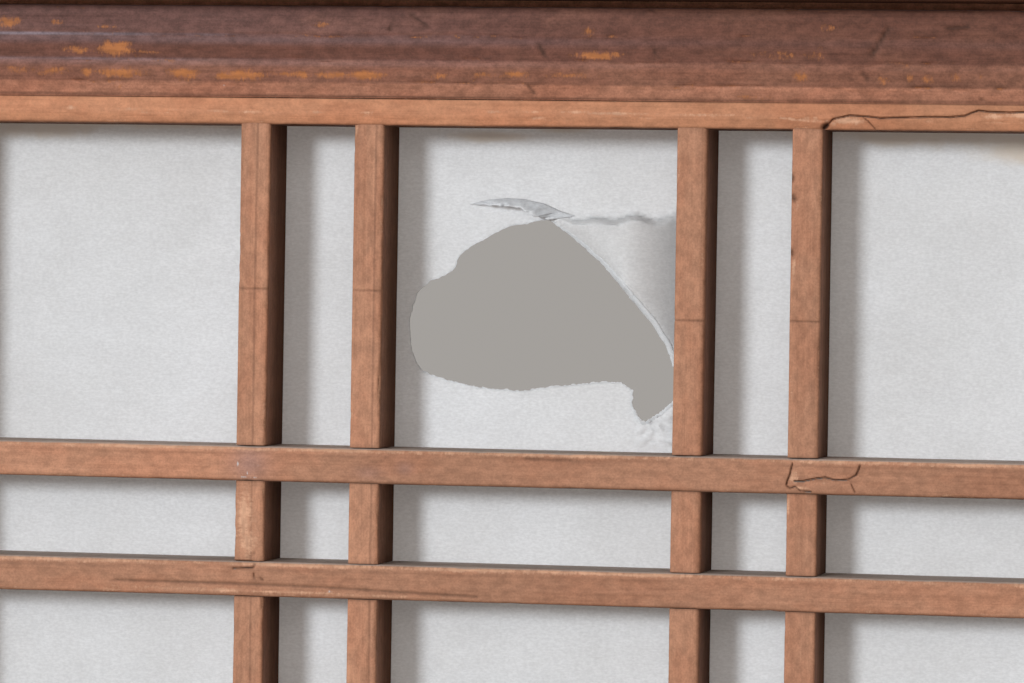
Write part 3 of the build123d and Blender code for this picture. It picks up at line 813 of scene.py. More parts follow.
class SCREEN_OT_stage(bpy.types.Operator):
    """Makes the floor, the lamps, the world and the camera."""

    bl_idname = "screen.stage"
    bl_label = "Stage"

    CAMERA_PLACE = (-0.1655, -1.529, 1.7025)
    CAMERA_YAW = math.radians(11.02)
    CAMERA_PITCH = math.radians(-1.02)
    CAMERA_ROLL = math.radians(0.89)
    LENS = 185.5
    FLOOR_RADIUS = 14.0
    FLOOR_SINK = 0.0005
    FLOOR_RINGS = 12
    FLOOR_SIDES = 96

    def lamp(self, name, left, height, size, strength, colour):
        """A lamp far away, as many degrees to the left of the front and above the level."""
        data = bpy.data.lights.new(name, "SUN")
        data.energy = strength
        data.color = colour
        data.angle = size
        left, height = math.radians(left), math.radians(height)
        level = math.cos(height)
        source = Vector((-math.sin(left) * level, -math.cos(left) * level, math.sin(height)))
        put_object(name, data).rotation_euler = source.to_track_quat("Z", "Y").to_euler()

    def floor(self, colours):
        """A round floor under the sill: rings whose radius grows, closed at the middle."""
        radii = np.linspace(0.0, 1.0, self.FLOOR_RINGS + 1)[1:] ** 1.5 * self.FLOOR_RADIUS
        turns = np.linspace(0, 2 * math.pi, self.FLOOR_SIDES + 1)[:-1]
        x = radii[:, None] * np.cos(turns)
        y = radii[:, None] * np.sin(turns)
        rings = np.stack([x, y, np.full_like(x, -self.FLOOR_SINK)], -1)
        faces = tube_faces(*rings.shape[:2]).tolist() + [list(range(self.FLOOR_SIDES))]
        mesh = bpy.data.meshes.new("floor")
        mesh.from_pydata(rings.reshape(-1, 3).tolist(), [], faces)
        material, nodes, place = new_finish("pale_floor")
        mottle = nodes.noise(place, 4.0, scale=6.0)
        colour = nodes.mix(mottle, shade(colours.floor, 0.97), shade(colours.floor, 1.03))
        inputs = {"Base Color": colour, "Roughness": 0.9, "Specular IOR Level": 0.2}
        nodes.add("ShaderNodeOutputMaterial", {"Surface": nodes.add("ShaderNodeBsdfPrincipled", inputs)})
        mesh.materials.append(material)
        floor = put_object("floor", mesh)

    def world(self, colours, light):
        """Even light, with a plain colour where the camera, a gloss or glass sees it."""
        world = bpy.data.worlds.new("studio")
        world.use_nodes = True
        bpy.context.scene.world = world
        nodes = Nodes(world.node_tree)
        path = nodes.add("ShaderNodeLightPath")
        rays = {output.name: Socket(nodes, output) for output in path.socket.node.outputs}
        seen = (rays["Is Camera Ray"] + rays["Is Glossy Ray"] + rays["Is Transmission Ray"]).clamped()
        warm = {"Color": (1.0, 0.94, 0.87, 1.0), "Strength": light.world_strength}
        even = nodes.add("ShaderNodeBackground", warm)
        plain = nodes.add("ShaderNodeBackground", {"Color": shade(colours.backdrop), "Strength": 1.0})
        both = nodes.add("ShaderNodeMixShader", {0: seen, 1: even, 2: plain})
        nodes.add("ShaderNodeOutputWorld", {"Surface": both})

    def camera(self):
        """The camera at the reference view: yaw, then pitch, then roll."""
        data = bpy.data.cameras.new("camera")
        data.lens = self.LENS
        data.sensor_width = 36.0
        yaw, pitch, roll = self.CAMERA_YAW, self.CAMERA_PITCH, self.CAMERA_ROLL
        level_part = math.cos(pitch)
        forward = Vector((-math.sin(yaw) * level_part, math.cos(yaw) * level_part, math.sin(pitch)))
        level = Vector((math.cos(yaw), math.sin(yaw), 0.0))
        up = level.cross(forward)
        right = level * math.cos(roll) + up * math.sin(roll)
        above = up * math.cos(roll) - level * math.sin(roll)
        camera = put_object("camera", data)
        camera.rotation_euler = Matrix((right, above, -forward)).transposed().to_euler()
        camera.location = self.CAMERA_PLACE
        bpy.context.scene.camera = camera

    def execute(self, context):
        colours, light = context.scene.screen_colours, context.scene.screen_light
        self.floor(colours)
        self.world(colours, light)
        self.lamp("key", 25.0, 11.3, light.key_size, light.key_strength, (0.965, 1.0, 1.02))
        self.lamp("fill", -6.0, 20.0, light.fill_size, light.fill_strength, (1.0, 0.96, 0.91))
        self.lamp("back", 180.0, 10.0, light.fill_size, light.back_strength, (1.0, 0.795, 0.65))
        self.camera()
        context.scene.view_settings.view_transform = "Standard"
        return {"FINISHED"}


class SCREEN_OT_finishes(bpy.types.Operator):
    """Makes the wood and paper materials."""

    bl_idname = "screen.finishes"
    bl_label = "Finishes"

    def execute(self, context):
        colours = context.scene.screen_colours
        # Each wood, its colour, its colour where it is worn, how dusty it gets and its contrast
        woods = (
            ("lattice_wood", colours.lattice, colours.rubbed, 0.92, 0.95),
            ("strip_wood", colours.strip, colours.rubbed, 0.3, 0.75),
            ("rail_wood", colours.rail, colours.worn, 0.3, 1.25),
            ("frame_wood", colours.opening, colours.rubbed, 0.8, 1.0),
        )
        for along in ("X", "Z"):
            for name, colour, bare_colour, dusty, contrast in woods:
                wood(f"{name}_{along}", colour, bare_colour, colours, along, dusty, contrast)
        paper_finish(colours)
        return {"FINISHED"}


class SCREEN_OT_uprights(bpy.types.Operator):
    """Makes the upright bars, notched in front at every crosswise bar."""

    bl_idname = "screen.uprights"
    bl_label = "Upright bars"

    RIGHT_EASING = 1.3
    ROUNDED_BAR = "upright_07"  # its right arris has worn rounder than the others
    ROUNDED_EASING = 2.1

    def execute(self, context):
        sizes = context.scene.screen_sizes
        easing = sizes.bar_easing / MM
        crossed = crossings(CROSSBARS, 2)
        edges = [*np.ravel(crossed), LATTICE_BOTTOM, LATTICE_TOP]
        low_held, high_held = (-np.inf, BAR_MIDDLE), (np.inf, np.inf)
        clamps = bar_clamps(crossed, low_held, high_held, LATTICE_BOTTOM, LATTICE_TOP)
        for number, node in enumerate(UPRIGHTS, 1):
            low, high = bar_box(node)
            right_easing = self.ROUNDED_EASING if node == self.ROUNDED_BAR else self.RIGHT_EASING
            easings = (easing * 0.8, easing * right_easing)
            fine, scribes, face_spacing = [], [], COARSE_SPACING
            if node in SCRIBED:
                fine = [(LATTICE_TOP - SEEN_DOWN[1], LATTICE_TOP, 0.9)]
                scribes = [LATTICE_TOP - SCRIBED[node]]
                face_spacing = FINE_SPACINGS["upright"]
            outline = bar_outline(low[0], high[0], easings, face_spacing)
            places = sections(low[2], high[2], 10.0, fine, edges + scribes)
            dent = sizes.dent_depth / MM
            points, facing, worn = carry("upright", number, outline, places, True, dent, clamps)
            points, shown = add_marks(points, facing, worn)
            along = np.repeat(places[:, None], points.shape[1], axis=1)
            # Bars that the view doesn't show have their line somewhere between 1 and 8 mm
            line_place = low[0] + GRAIN_LINES.get(node, 1.0 + 7.0 * ((number * 0.618) % 1.0))
            # Dirt and painted shade where an upright meets a crossbar or a strip.
            shown["grime_and_shade"] = np.maximum(shown["grime_and_shade"], 0.5 * corner_grime_and_shade(along, edges, 0.4))
            shown["line"] = past_line(points[..., 0], line_place, number, along, facing)
            shown["flank_dirt_and_shade"] = flank_dirt_and_shade(points)
            shown["tint"] = np.full(worn.shape, TINTS.get(node, 0.0))
            put_member(f"bar_upright_{number:02d}", points, "lattice_wood", "Z", node, shown)
        return {"FINISHED"}


class SCREEN_OT_crossbars(bpy.types.Operator):
    """Makes the crosswise bars, notched behind at every upright bar."""

    bl_idname = "screen.crossbars"
    bl_label = "Crosswise bars"

    TOP_EASING = 1.8

    def execute(self, context):
        sizes = context.scene.screen_sizes
        easing = sizes.bar_easing / MM
        crossed = crossings(UPRIGHTS, 0)
        ends = [LATTICE_LEFT, LATTICE_RIGHT]
        low_held, high_held = (-np.inf, -np.inf), (np.inf, BAR_MIDDLE)
        clamps = bar_clamps(crossed, low_held, high_held, *ends)
        for number, node in enumerate(CROSSBARS, 1):
            low, high = bar_box(node)
            fine, face_spacing = [], COARSE_SPACING
            if LATTICE_TOP - high[2] < SEEN_DOWN[1]:
                fine = [seen_range(*SEEN_ACROSS, 1.3), seen_range(120.0, 144.0, 0.3)]
                fine += [seen_range(-44.0, -34.0, 0.4)]
                face_spacing = FINE_SPACINGS["crossbar"]
            outline = bar_outline(low[2], high[2], (easing, easing * self.TOP_EASING), face_spacing)
            places = sections(low[0], high[0], 10.0, fine, [*np.ravel(crossed), *ends])
            dent = sizes.dent_depth / MM
            points, facing, worn = carry("crossbar", number, outline, places, False, dent, clamps)
            points, shown = add_marks(points, facing, worn)
            along = np.repeat(places[:, None], points.shape[1], axis=1)
            below_top = high[2] - points[..., 2]
            drift = value_noise(71, along / 19.0, number)
            # Painted shade, with some grime: a soft line 2.3 mm under the top arris and a dark line along
            # the lower arris, which faces down.
            edge_grime_and_shade = (0.12 + 0.12 * drift) * bell(below_top - 2.3, 0.3 * drift, 0.45)
            edge_grime_and_shade += 0.45 * bell(points[..., 2], low[2], 0.55)
            # Pale rubbed wood along the top arris, lightened further as a painted highlight where light from
            # above catches it.
            top_arris_wear_and_highlight = (0.72 + 0.4 * drift) * bell(below_top, 0.8, 0.8)
            across, down = points[..., 0] - TORN_CELL_LEFT, LATTICE_TOP - points[..., 2]
            # Grime and painted shade where a crossbar meets the strips at its ends.
            end_grime_and_shade = 0.8 * corner_grime_and_shade(along, ends, 0.5)
            paler_left = 0.32 * (1 - smooth_step(across, -60.0, 10.0)) * (number == 1)
            shown["worn"] = np.maximum(shown["worn"], top_arris_wear_and_highlight)
            shown["haze_and_sheen"] = patches(across, down, HAZY_SPOTS)
            shown["grime_and_shade"] = np.maximum.reduce([shown["grime_and_shade"], end_grime_and_shade, edge_grime_and_shade])
            shown["flank_dirt_and_shade"] = flank_dirt_and_shade(points)
            shown["tint"] = TINTS.get(node, 0.0) + paler_left
            put_member(f"bar_crosswise_{number:02d}", points, "lattice_wood", "X", node, shown)
        return {"FINISHED"}


class SCREEN_OT_strips(bpy.types.Operator):
    """Makes the four mitred strips that hold the lattice."""

    bl_idname = "screen.strips"
    bl_label = "Inner strips"

    PLAIN_SPACING = 1.6
    DENT_SHARE = 0.7

    def execute(self, context):
        sizes = context.scene.screen_sizes
        easing = sizes.frame_easing / MM
        dent = sizes.dent_depth / MM * self.DENT_SHARE
        # Each strip, whether it is upright, where its inner edge lies and which way is outwards
        strips = (
            ("strip_top", False, LATTICE_TOP - RAIL_DROP, 1),
            ("strip_bottom", False, LATTICE_BOTTOM, -1),
            ("strip_left", True, LATTICE_LEFT, -1),
            ("strip_right", True, LATTICE_RIGHT, 1),
        )
        for number, (node, upright, inner, outwards) in enumerate(strips, 1):
            low, high = box_mm(node)
            front = low[1]
            long_axis, face_axis = (2, 0) if upright else (0, 2)
            face = high[face_axis] - low[face_axis]
            outer = inner + outwards * face
            bevel_end = (inner + outwards * STRIP_BEVEL_FACE, front)
            corners = [(inner, BAR_FRONT), bevel_end, (outer, front), (outer, BAR_BACK), (inner, BAR_BACK)]
            start, end = (LATTICE_BOTTOM, LATTICE_TOP) if upright else (LATTICE_LEFT, LATTICE_RIGHT)
            fine, spacing = [], self.PLAIN_SPACING
            if node == "strip_top":
                fine = [seen_range(*SEEN_ACROSS, 1.0), seen_range(129.0, 199.0, 0.3)]
                spacing = FINE_SPACINGS["strip"]
            easings = [easing * 1.2, easing, CRISP, CRISP, CRISP]
            outline = eased_outline(corners, easings, [spacing, spacing, 8.0, 8.0, 8.0])
            places = sections(start, end, 8.0, fine)
            points, facing, worn = carry("strip", number, outline, places, upright, dent)
            # Mitres: a strip grows longer outwards by its distance from the inner edge
            middle = (start + end) / 2
            stretch = 1 + 2 * np.abs(points[..., face_axis] - inner) / (end - start)
            points[..., long_axis] = middle + (points[..., long_axis] - middle) * stretch
            points, shown = add_marks(points, facing, worn)
            reach = np.abs(points[..., face_axis] - inner)
            # Grime and painted shade in the seam under the rail and along the inner edge, where shade falls.
            seam_grime_and_shade = 0.6 * bell(face, reach, 0.25) + 0.5 * bell(reach, 0.0, 0.45)
            across = points[..., 0] - TORN_CELL_LEFT
            shown["grime_and_shade"] = np.maximum(shown["grime_and_shade"], seam_grime_and_shade)
            # Painted shade, with some dirt, on the strip's sides and underside.
            shown["flank_dirt_and_shade"] = 0.7 * smooth_step(points[..., 1] - BAR_FRONT, 0.0, 1.2)
            shown["tint"] = 0.1 * bell(across, 30.0, 80.0) - 0.13
            name = node.replace("strip", "band")
            put_member(name, points, "strip_wood", "Z" if upright else "X", node, shown)
        return {"FINISHED"}


class SCREEN_OT_rails(bpy.types.Operator):
    """Makes the top and bottom rails, with their tongues and through tenons."""

    bl_idname = "screen.rails"
    bl_label = "Rails"

    FOOT_EASING = 0.2
    BACK_EASING = 0.3

    def top_film(self, across, height, face, front):
        """Haze with a painted sheen along the top rail's arrises, soot and tint by height. Its tongue is
        clean of soot and haze, and painted lighter where the gap under the head is in shade.

        The facets meet 4.4, 11.1 and 18.6 mm up, so the film changes at these heights.
        """
        leftward = 1 - smooth_step(across, -60.0, 130.0)
        leftmost = 1 - smooth_step(across, -90.0, -20.0)
        # The tongue is free of soot and haze, and its tint lightens it as painted light in the shaded gap
        # under the head.
        tongue_clean_and_lit = smooth_step(height, face + 0.7, face + 0.9)
        # Painted highlights with some dust along the arrises at 18.4 and 11.0 mm, and broader bands below
        # them.
        lines = bell(height, 18.4, 0.45) + 0.5 * bell(height, 11.0, 0.45)
        lines *= 0.65 + 0.5 * value_noise(79, across / 13.0, height / 9.0)
        bands = bell(height, 17.0, 1.3) + 0.8 * bell(height, 10.2, 1.0)
        upper = leftward * smooth_step(height, 18.4, 20.0)
        haze_and_sheen = (0.5 * leftmost + 0.12 * leftward) * lines + (0.05 + 0.17 * leftward) * bands + 0.1 * upper
        film = 0.2 * leftward + 0.48 * smooth_step(height, 4.0, 5.0)
        film = film + 0.37 * smooth_step(height, 10.6, 11.6)
        tint = 0.13 * bell(across, 45.0, 70.0) + 0.05 - 0.2 * (1 - leftward) * smooth_step(height, 4.0, 5.0)
        return {
            "haze_and_sheen": front * haze_and_sheen * (1 - tongue_clean_and_lit),
            "soot": (film - 0.06 * leftward * smooth_step(height, 18.2, 19.0)) * (1 - tongue_clean_and_lit),
            # The tongue's lighter tint is painted light.
            "tint": tint + 0.9 * tongue_clean_and_lit,
        }

    def execute(self, context):
        sizes = context.scene.screen_sizes
        easing = sizes.frame_easing / MM
        dent = sizes.dent_depth / MM
        top_front = [*CROWN, TOP_RAIL_CREST, (TOP_RAIL_FACE, TOP_RAIL_UPPER_DROP)]
        bottom_front = [*CROWN, *[(BOTTOM_RAIL_FACE - up, back) for up, back in reversed(CROWN)]]
        # Each rail, its foot and top, where its tongue ends and its planed front
        rails = (
            ("top_rail", RAIL_FOOT, LEAF_TOP, STILE_TOP, top_front),
            ("bottom_rail", LEAF_BOTTOM, BOTTOM_RAIL_TOP, STILE_FOOT, bottom_front),
        )
        for number, (node, foot, top, tongue_end, planed) in enumerate(rails, 1):
            front_corners = [(foot + up, LEAF_FRONT + back) for up, back in planed]
            back_corners = [(top, LEAF_BACK), (foot, LEAF_BACK)]
            fine, spacing = [], COARSE_SPACING
            if node == "top_rail":
                front_corners = [(up - RAIL_DROP * (up < top), back) for up, back in front_corners]
                tongue = [(top, -TONGUE_HALF), (tongue_end, -TONGUE_HALF)]
                tongue += [(tongue_end, TONGUE_HALF), (top, TONGUE_HALF)]
                other_corners = tongue + back_corners
                fine, spacing = [seen_range(*SEEN_ACROSS, 1.0)], FINE_SPACINGS["rail"]
            else:
                tongue = [(foot, TONGUE_HALF), (tongue_end, TONGUE_HALF)]
                tongue += [(tongue_end, -TONGUE_HALF), (foot, -TONGUE_HALF)]
                other_corners = back_corners + tongue
            facets, others = len(front_corners) - 1, len(other_corners)
            easings = [self.FOOT_EASING] + [easing] * facets + [self.BACK_EASING] * others
            spacings = [spacing] * facets + [9.0] * (others + 1)
            outline = eased_outline(front_corners + other_corners, easings, spacings)
            tenon = ((foot + TENON_SHOULDER, -TENON_HALF), (top - TENON_SHOULDER, TENON_HALF))
            clamps = [(-np.inf, RAIL_LEFT, *tenon), (RAIL_RIGHT, np.inf, *tenon)]
            places = sections(LEAF_LEFT - 0.1, LEAF_RIGHT + 0.1, 7.0, fine, [RAIL_LEFT, RAIL_RIGHT])
            points, facing, worn = carry("rail", number, outline, places, False, dent, clamps)
            points, shown = add_marks(points, facing, 0.6 * worn)
            face = top - foot
            height = points[..., 2] - foot
            front = smooth_step(-facing, 0.2, 0.7)
            if node == "top_rail":
                seam_grime_and_shade = bell(height, 0.0, 0.3)
                shown.update(self.top_film(points[..., 0] - TORN_CELL_LEFT, height + RAIL_DROP, face, front))
            else:
                seam_grime_and_shade = bell(height, face, 0.3)
                upper_edge = 1 - smooth_step(height, face - 5.0, face - 3.0)
                shown["soot"] = 0.3 * smooth_step(height, 3.0, 5.0) * upper_edge
            shown["worn"] = 1.12 * shown["worn"]
            # Grime and painted shade in the seam where the rail meets its strip.
            shown["grime_and_shade"] = np.maximum(shown["grime_and_shade"], 0.7 * seam_grime_and_shade * front)
            put_member(f"leaf_{node}", points, "rail_wood", "X", node, shown)
        return {"FINISHED"}


class SCREEN_OT_stiles(bpy.types.Operator):
    """Makes the two stiles, thinned to a tongue at both ends."""

    bl_idname = "screen.stiles"
    bl_label = "Stiles"

    BACK_EASING = 0.4
    FACE_SPACING = 4.0

    def execute(self, context):
        sizes = context.scene.screen_sizes
        easings = [sizes.frame_easing / MM] * 6 + [self.BACK_EASING] * 2
        tongue = ((-np.inf, -TONGUE_HALF), (np.inf, TONGUE_HALF))
        clamps = [(-np.inf, LEAF_BOTTOM, *tongue), (LEAF_TOP, np.inf, *tongue)]
        for number, node in enumerate(("stile_left", "stile_right"), 1):
            low, high = box_mm(node)
            near = [(low[0] + along, LEAF_FRONT + back) for along, back in CROWN]
            far = [(high[0] - along, LEAF_FRONT + back) for along, back in reversed(CROWN)]
            corners = [*near, *far, (high[0], LEAF_BACK), (low[0], LEAF_BACK)]
            outline = eased_outline(corners, easings, [self.FACE_SPACING] * 5 + [9.0] * 3)
            places = sections(low[2], high[2], 6.0, [], [LEAF_BOTTOM, LEAF_TOP])
            dent = sizes.dent_depth / MM
            points, facing, worn = carry("stile", number, outline, places, True, dent, clamps)
            points, shown = add_marks(points, facing, worn)
            across = points[..., 0] - low[0]
            shown["soot"] = 0.3 * smooth_step(across, 3.0, 5.0) * (1 - smooth_step(across, 25.0, 27.0))
            put_member(f"leaf_{node}", points, "rail_wood", "Z", node, shown)
        return {"FINISHED"}


class SCREEN_OT_paper(bpy.types.Operator):
    """Makes the torn paper: the sheet, its curled lip and its torn rims."""

    bl_idname = "screen.paper"
    bl_label = "Torn paper"

    COARSE = 20.0
    FINE = 0.75
    LEAN = 0.17
    STAND_OFF = 0.03  # the paper's place behind the bars
    NEAR_TEAR = ((0, 24), (92, 91))  # across and down, round the whole tear

    def tear_path(self):
        """The tear's outline, closed, with a fibrous wander of a sixth of a millimetre."""
        corners = np.array(TEAR + [TEAR[0]], float)
        lengths = np.r_[0, np.cumsum(np.linalg.norm(np.diff(corners, axis=0), axis=1))]
        along = np.arange(0, lengths[-1], 0.4)
        path = np.stack([np.interp(along, lengths, corners[:, axis]) for axis in (0, 1)], -1)
        softened = sum(np.roll(path, shift, 0) for shift in (2, 1, 0, -1, -2)) / 5
        for axis in (0, 1):
            softened[:, axis] += 0.16 * value_noise(41, along / 1.1, axis)
        return np.concatenate([softened, softened[:1]])

    def rip(self, across):
        """How far down the rip from the tear's top to the bar runs."""
        return 26.5 + 1.0 * value_noise(84, across / 6.0, 0.0)

    def flap(self, across, down, sizes):
        """How far the flap between the tear's edge and the bar stands before the sheet.

        It rises by a sine from its edge to a rounded ridge and falls straight from there to
        the bar: 1 - sqrt((1 - t)^2 + 0.07).
        """
        edge = np.array(FLAP_EDGE)
        edge_across = np.interp(down, edge[:, 1], edge[:, 0])
        ridge = np.maximum(FLAP_RIDGE, edge_across + 1.5)
        rising = np.clip((across - edge_across) / (ridge - edge_across), 0, 1)
        falling = np.clip((CELL_SPAN - across) / (CELL_SPAN - ridge), 0, 1)
        at_edge = 0.75 * smooth_step(down, 34.0, 52.0)
        rising = at_edge + (1 - at_edge) * np.sin(0.5 * math.pi * rising)
        shape = np.where(across < ridge, 0.735 * rising, 1 - np.sqrt((1 - falling) ** 2 + 0.07))
        steep = np.clip((CELL_SPAN - ridge) / (CELL_SPAN - FLAP_RIDGE), 0, 1)
        height = sizes.flap_bulge / MM * steep * smooth_step(down - self.rip(across), 0.0, 1.8)
        height = height * (1 - smooth_step(down, 66.0, 75.0))
        return np.where((across > edge_across - 1.5) & (across < CELL_SPAN), height * shape, 0.0)

    def forward(self, across, down, sizes):
        """How far the paper stands before its plane.

        The flap bulges, the corner under the tear is creased, the paper over the rip curls
        forward by a bell, and everywhere else it waves a little between the bars.
        """
        creases = value_noise(43, (across + down) / 4.0, (across - down) / 1.9)
        corner = smooth_step(across, 68.0, 77.0) * (1 - smooth_step(across, 86.0, 87.0))
        corner *= smooth_step(down, 80.0, 85.0) * (1 - smooth_step(down, 93.0, 95.0))
        ruffle = value_noise(47, across / 26.0, down / 31.0)
        ragged = value_noise(61, across / 1.6, 0.0)
        below_rip = down - self.rip(across) + 0.7
        over_rip = bell(below_rip, 0.0, 0.7) * smooth_step(across, 48.0, 56.0) * (across < 86.5)
        bulge = self.flap(across, down, sizes) + 1.4 * np.abs(creases) * corner
        return bulge + 0.12 * ruffle + (0.32 + 0.4 * ragged) * over_rip

    def place(self, across, down, forward):
        """Points of the sheet. What stands forward also leans to the right."""
        x = TORN_CELL_LEFT + across + self.LEAN * forward
        y = BAR_BACK + self.STAND_OFF - forward
        z = LATTICE_TOP - down
        return np.stack([x, y, z], -1)

    def in_tear(self, spots, tear):
        """Whether each spot lies in the tear.

        A line to the right of such a spot crosses the outline an odd number of times.
        """
        low, high = self.NEAR_TEAR
        near = ((spots > low) & (spots < high)).all(axis=1)
        start, end = tear[:-1], tear[1:]
        tested = spots[near]
        spans = (start[:, 1] > tested[:, 1:2]) != (end[:, 1] > tested[:, 1:2])
        rise = np.where(end[:, 1] == start[:, 1], 1.0, end[:, 1] - start[:, 1])
        cross_at = start[:, 0] + (tested[:, 1:2] - start[:, 1]) * (end[:, 0] - start[:, 0]) / rise
        inside = np.zeros(len(spots), bool)
        inside[near] = np.sum(spans & (tested[:, :1] < cross_at), axis=1) % 2 == 1
        return inside

    def free(self, spots):
        """0 where the paper is pasted to an upright bar, growing to 1 at 1.5 mm from it."""
        boxes = [box_mm(node) for node in UPRIGHTS]
        bars = np.array([(low[0], high[0]) for low, high in boxes]) - TORN_CELL_LEFT
        across = spots[:, :1]
        gap = np.abs(across - bars.ravel()).min(axis=1)
        pasted = ((across > bars[:, 0]) & (across < bars[:, 1])).any(axis=1)
        return np.where(pasted, 0.0, smooth_step(gap, 0.0, 1.5))

    def sheet(self, tear, sizes):
        """The sheet: a grid, fine in the torn cell, whose quads inside the tear are dropped.

        Vertices of kept quads that lie inside the tear move onto its outline.
        """
        low, high = box_mm("paper")
        cell = (TORN_CELL_LEFT - 1, TORN_CELL_RIGHT + 2.5, self.FINE)
        rows = (TORN_CELL_FOOT - 1, LATTICE_TOP + 1, self.FINE)
        xs = sections(low[0], high[0], self.COARSE, [cell])
        zs = sections(low[2], high[2], self.COARSE, [rows])[::-1]
        across, down = np.meshgrid(xs - TORN_CELL_LEFT, LATTICE_TOP - zs)
        spots = np.stack([across.ravel(), down.ravel()], -1)
        inside = self.in_tear(spots, tear)
        quads = sheet_faces(*across.shape)
        quads = quads[~inside[quads].all(axis=1)]
        used = np.zeros(len(spots), bool)
        used[quads] = True
        moved = inside & used
        spots[moved] = nearest_on_path(spots[moved], tear)[1]
        forward = self.forward(spots[:, 0], spots[:, 1], sizes)
        points = self.place(spots[:, 0], spots[:, 1], forward * self.free(spots))
        numbers = np.cumsum(used) - 1
        return points[used], numbers[quads], spots[used]

    def lip(self, sizes):
        """The curled lip: straight lines from its hinge to its free edge, raised by a sine."""
        hinge, free = np.array(LIP_HINGE), np.array(LIP_FREE_EDGE)
        along = np.linspace(0, 1, 90)[:, None]
        knots = np.linspace(0, 1, len(hinge))
        share = np.linspace(0, 1, 12)
        spots = np.stack([
            np.interp(along, knots, hinge[:, axis]) * (1 - share)
            + np.interp(along, knots, free[:, axis]) * share
            for axis in (0, 1)
        ], -1)
        spots[..., 1] += 0.45 * value_noise(53, along * 22, 0.0) * share
        taper = smooth_step(along, -0.1, 0.35) * (1 - 0.6 * smooth_step(along, 0.75, 1.0))
        wrinkles = 1 + 0.3 * value_noise(73, share * 2.0, along * 17.0)
        rise = sizes.lip_rise / MM * taper * np.sin(0.5 * math.pi * share) * wrinkles
        points = self.place(spots[..., 0], spots[..., 1], rise + 0.1)
        return points, np.broadcast_to(smooth_step(share, 0.75, 1.0), rise.shape)

    def rims(self, tear, sizes):
        """Torn fibres: a ribbon along the tear, from its paper side to its ragged outer edge."""
        path = tear[:-1]
        ahead, behind = np.roll(path, -1, 0), np.roll(path, 1, 0)
        tangent = (ahead - behind) / np.linalg.norm(ahead - behind, axis=1, keepdims=True)
        inward = np.stack([tangent[:, 1], -tangent[:, 0]], -1)
        if np.sum((path.mean(axis=0) - path) * inward) < 0:
            inward = -inward
        steps = np.arange(len(path))
        across, down = path[:, 0], path[:, 1]
        on_flap = smooth_step(across, 44.0, 56.0) * (1 - smooth_step(down, 72.0, 76.0))
        at_corner = smooth_step(across, 70.0, 74.0) * smooth_step(down, 76.0, 79.0)
        low_edge = smooth_step(down, 70.0, 74.0)
        wide = 0.55 + 0.45 * smooth_step(down, 38.0, 52.0)
        strength = np.clip(on_flap * wide + 0.35 * at_corner + 0.12 * low_edge, 0.05, 1)[:, None]
        fringe = np.abs(value_noise(59, steps / 1.7, 0.0)) * (0.15 + 0.25 * low_edge)
        share = np.linspace(-1, 1, 7)
        ribbon = sizes.rim_width / MM * strength
        reach = np.where(share < 0, share * ribbon, share * fringe[:, None])
        spots = path[:, None] + inward[:, None] * reach[..., None]
        base = self.forward(spots[..., 0], spots[..., 1], sizes)
        base = np.where(share > 0, base[:, 3:4], base)
        thick = 0.2 * np.cos(0.5 * math.pi * share) * strength + 0.05
        points = self.place(spots[..., 0], spots[..., 1], base + thick)
        rim = strength * (1 - 0.25 * np.abs(share))
        return np.concatenate([points, points[:1]]), np.concatenate([rim, rim[:1]])

    def execute(self, context):
        sizes = context.scene.screen_sizes
        tear = self.tear_path()
        points, quads, spots = self.sheet(tear, sizes)
        across, down = spots[:, 0], spots[:, 1]
        from_rip = np.abs(down - self.rip(across)) + 9.0 * ((across < 52.0) | (across > CELL_SPAN))
        turned = smooth_step(across, FLAP_RIDGE, CELL_SPAN + 2.0)
        flap = self.flap(across, down, sizes) / (sizes.flap_bulge / MM)
        # Painted light and painted shade on the paper, and painted shade on the flap's side that turns away
        # from the light, in its tone and shadowed shares.
        pale = patches(across, down, PAINTED_LIGHT_SPOTS) - 0.5 * patches(across, down, PAINTED_SHADE_SPOTS)
        shown = {
            "stain": patches(across, down, STAINS),
            "shadowed": np.maximum(bell(from_rip, 0.0, 0.55), turned * (flap > 0.01)),
            "tone": 1.3 * pale - 2.2 * np.clip(3 * flap, 0, 1),
        }
        parts, faces, rims = [points], [quads[:, ::-1]], [np.zeros(len(points))]
        for grid, rim in (self.lip(sizes), self.rims(tear, sizes)):
            start = sum(len(part) for part in parts)
            parts.append(grid.reshape(-1, 3))
            faces.append(start + sheet_faces(*grid.shape[:2]))
            rims.append(rim.ravel())
        points = np.concatenate(parts)
        attributes = {"rim": np.concatenate(rims)}
        for name, values in shown.items():
            attributes[name] = np.concatenate([values, np.zeros(len(points) - len(values))])
        faces = np.concatenate([self.facing_front(points, quads) for quads in faces]).tolist()
        piece = put_piece(
            "torn_paper", points, faces, "torn_paper", ["paper"], "leaf", attributes
        )
        wall = piece.modifiers.new("thickness", "SOLIDIFY")
        wall.thickness = sizes.paper_thickness
        wall.offset = -1.0
        return {"FINISHED"}

    def facing_front(self, points, quads):
        """The quads turned so that most of them look to the lattice side."""
        first, second, third = (points[quads[:, side]] for side in range(3))
        normals = np.cross(second - first, third - second)
        return quads[:, ::-1] if normals[:, 1].sum() > 0 else quads


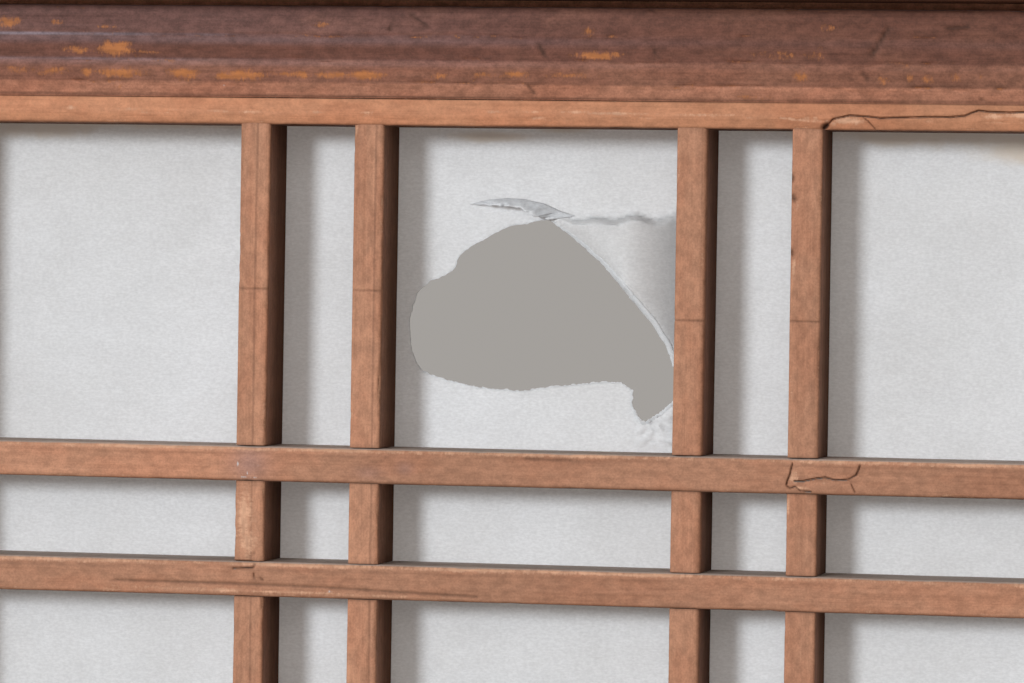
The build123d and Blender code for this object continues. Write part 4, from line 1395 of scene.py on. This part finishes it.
class SCREEN_OT_opening(bpy.types.Operator):
    """Gives the head, sill and jambs their dark wood."""

    bl_idname = "screen.opening"
    bl_label = "Opening frame"

    def execute(self, context):
        boards = (("head_track", "X"), ("sill_track", "X"), ("jamb_left", "Z"), ("jamb_right", "Z"))
        for node, along in boards:
            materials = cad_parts[node].data.materials
            materials.clear()
            materials.append(bpy.data.materials[f"frame_wood_{along}"])
        return {"FINISHED"}


OPERATORS = (
    SCREEN_OT_stage,
    SCREEN_OT_finishes,
    SCREEN_OT_uprights,
    SCREEN_OT_crossbars,
    SCREEN_OT_strips,
    SCREEN_OT_rails,
    SCREEN_OT_stiles,
    SCREEN_OT_paper,
    SCREEN_OT_opening,
)


class SCREEN_PT_panel(bpy.types.Panel):
    """Lists the steps that build the finish."""

    bl_idname = "SCREEN_PT_panel"
    bl_label = "Sliding paper screen"
    bl_space_type = "VIEW_3D"
    bl_region_type = "UI"
    bl_category = "Screen"

    def draw(self, context):
        for group in ("screen_sizes", "screen_colours", "screen_light"):
            properties = getattr(context.scene, group)
            for name in properties.__annotations__:
                self.layout.prop(properties, name)
        for operator in OPERATORS:
            self.layout.operator(operator.bl_idname)


CLASSES = (ScreenSizes, ScreenColours, ScreenLight, *OPERATORS, SCREEN_PT_panel)


def register():
    """Registers the classes and hangs the settings on the scene."""
    for item in CLASSES:
        bpy.utils.register_class(item)
    bpy.types.Scene.screen_sizes = PointerProperty(type=ScreenSizes)
    bpy.types.Scene.screen_colours = PointerProperty(type=ScreenColours)
    bpy.types.Scene.screen_light = PointerProperty(type=ScreenLight)


def unregister():
    """Takes the settings and the classes away again."""
    del bpy.types.Scene.screen_light
    del bpy.types.Scene.screen_colours
    del bpy.types.Scene.screen_sizes
    for item in reversed(CLASSES):
        bpy.utils.unregister_class(item)


def main():
    """Builds everything."""
    register()
    bpy.ops.screen.stage()
    bpy.ops.screen.finishes()
    bpy.ops.screen.uprights()
    bpy.ops.screen.crossbars()
    bpy.ops.screen.strips()
    bpy.ops.screen.rails()
    bpy.ops.screen.stiles()
    bpy.ops.screen.paper()
    bpy.ops.screen.opening()


if __name__ == "__main__":
    main()
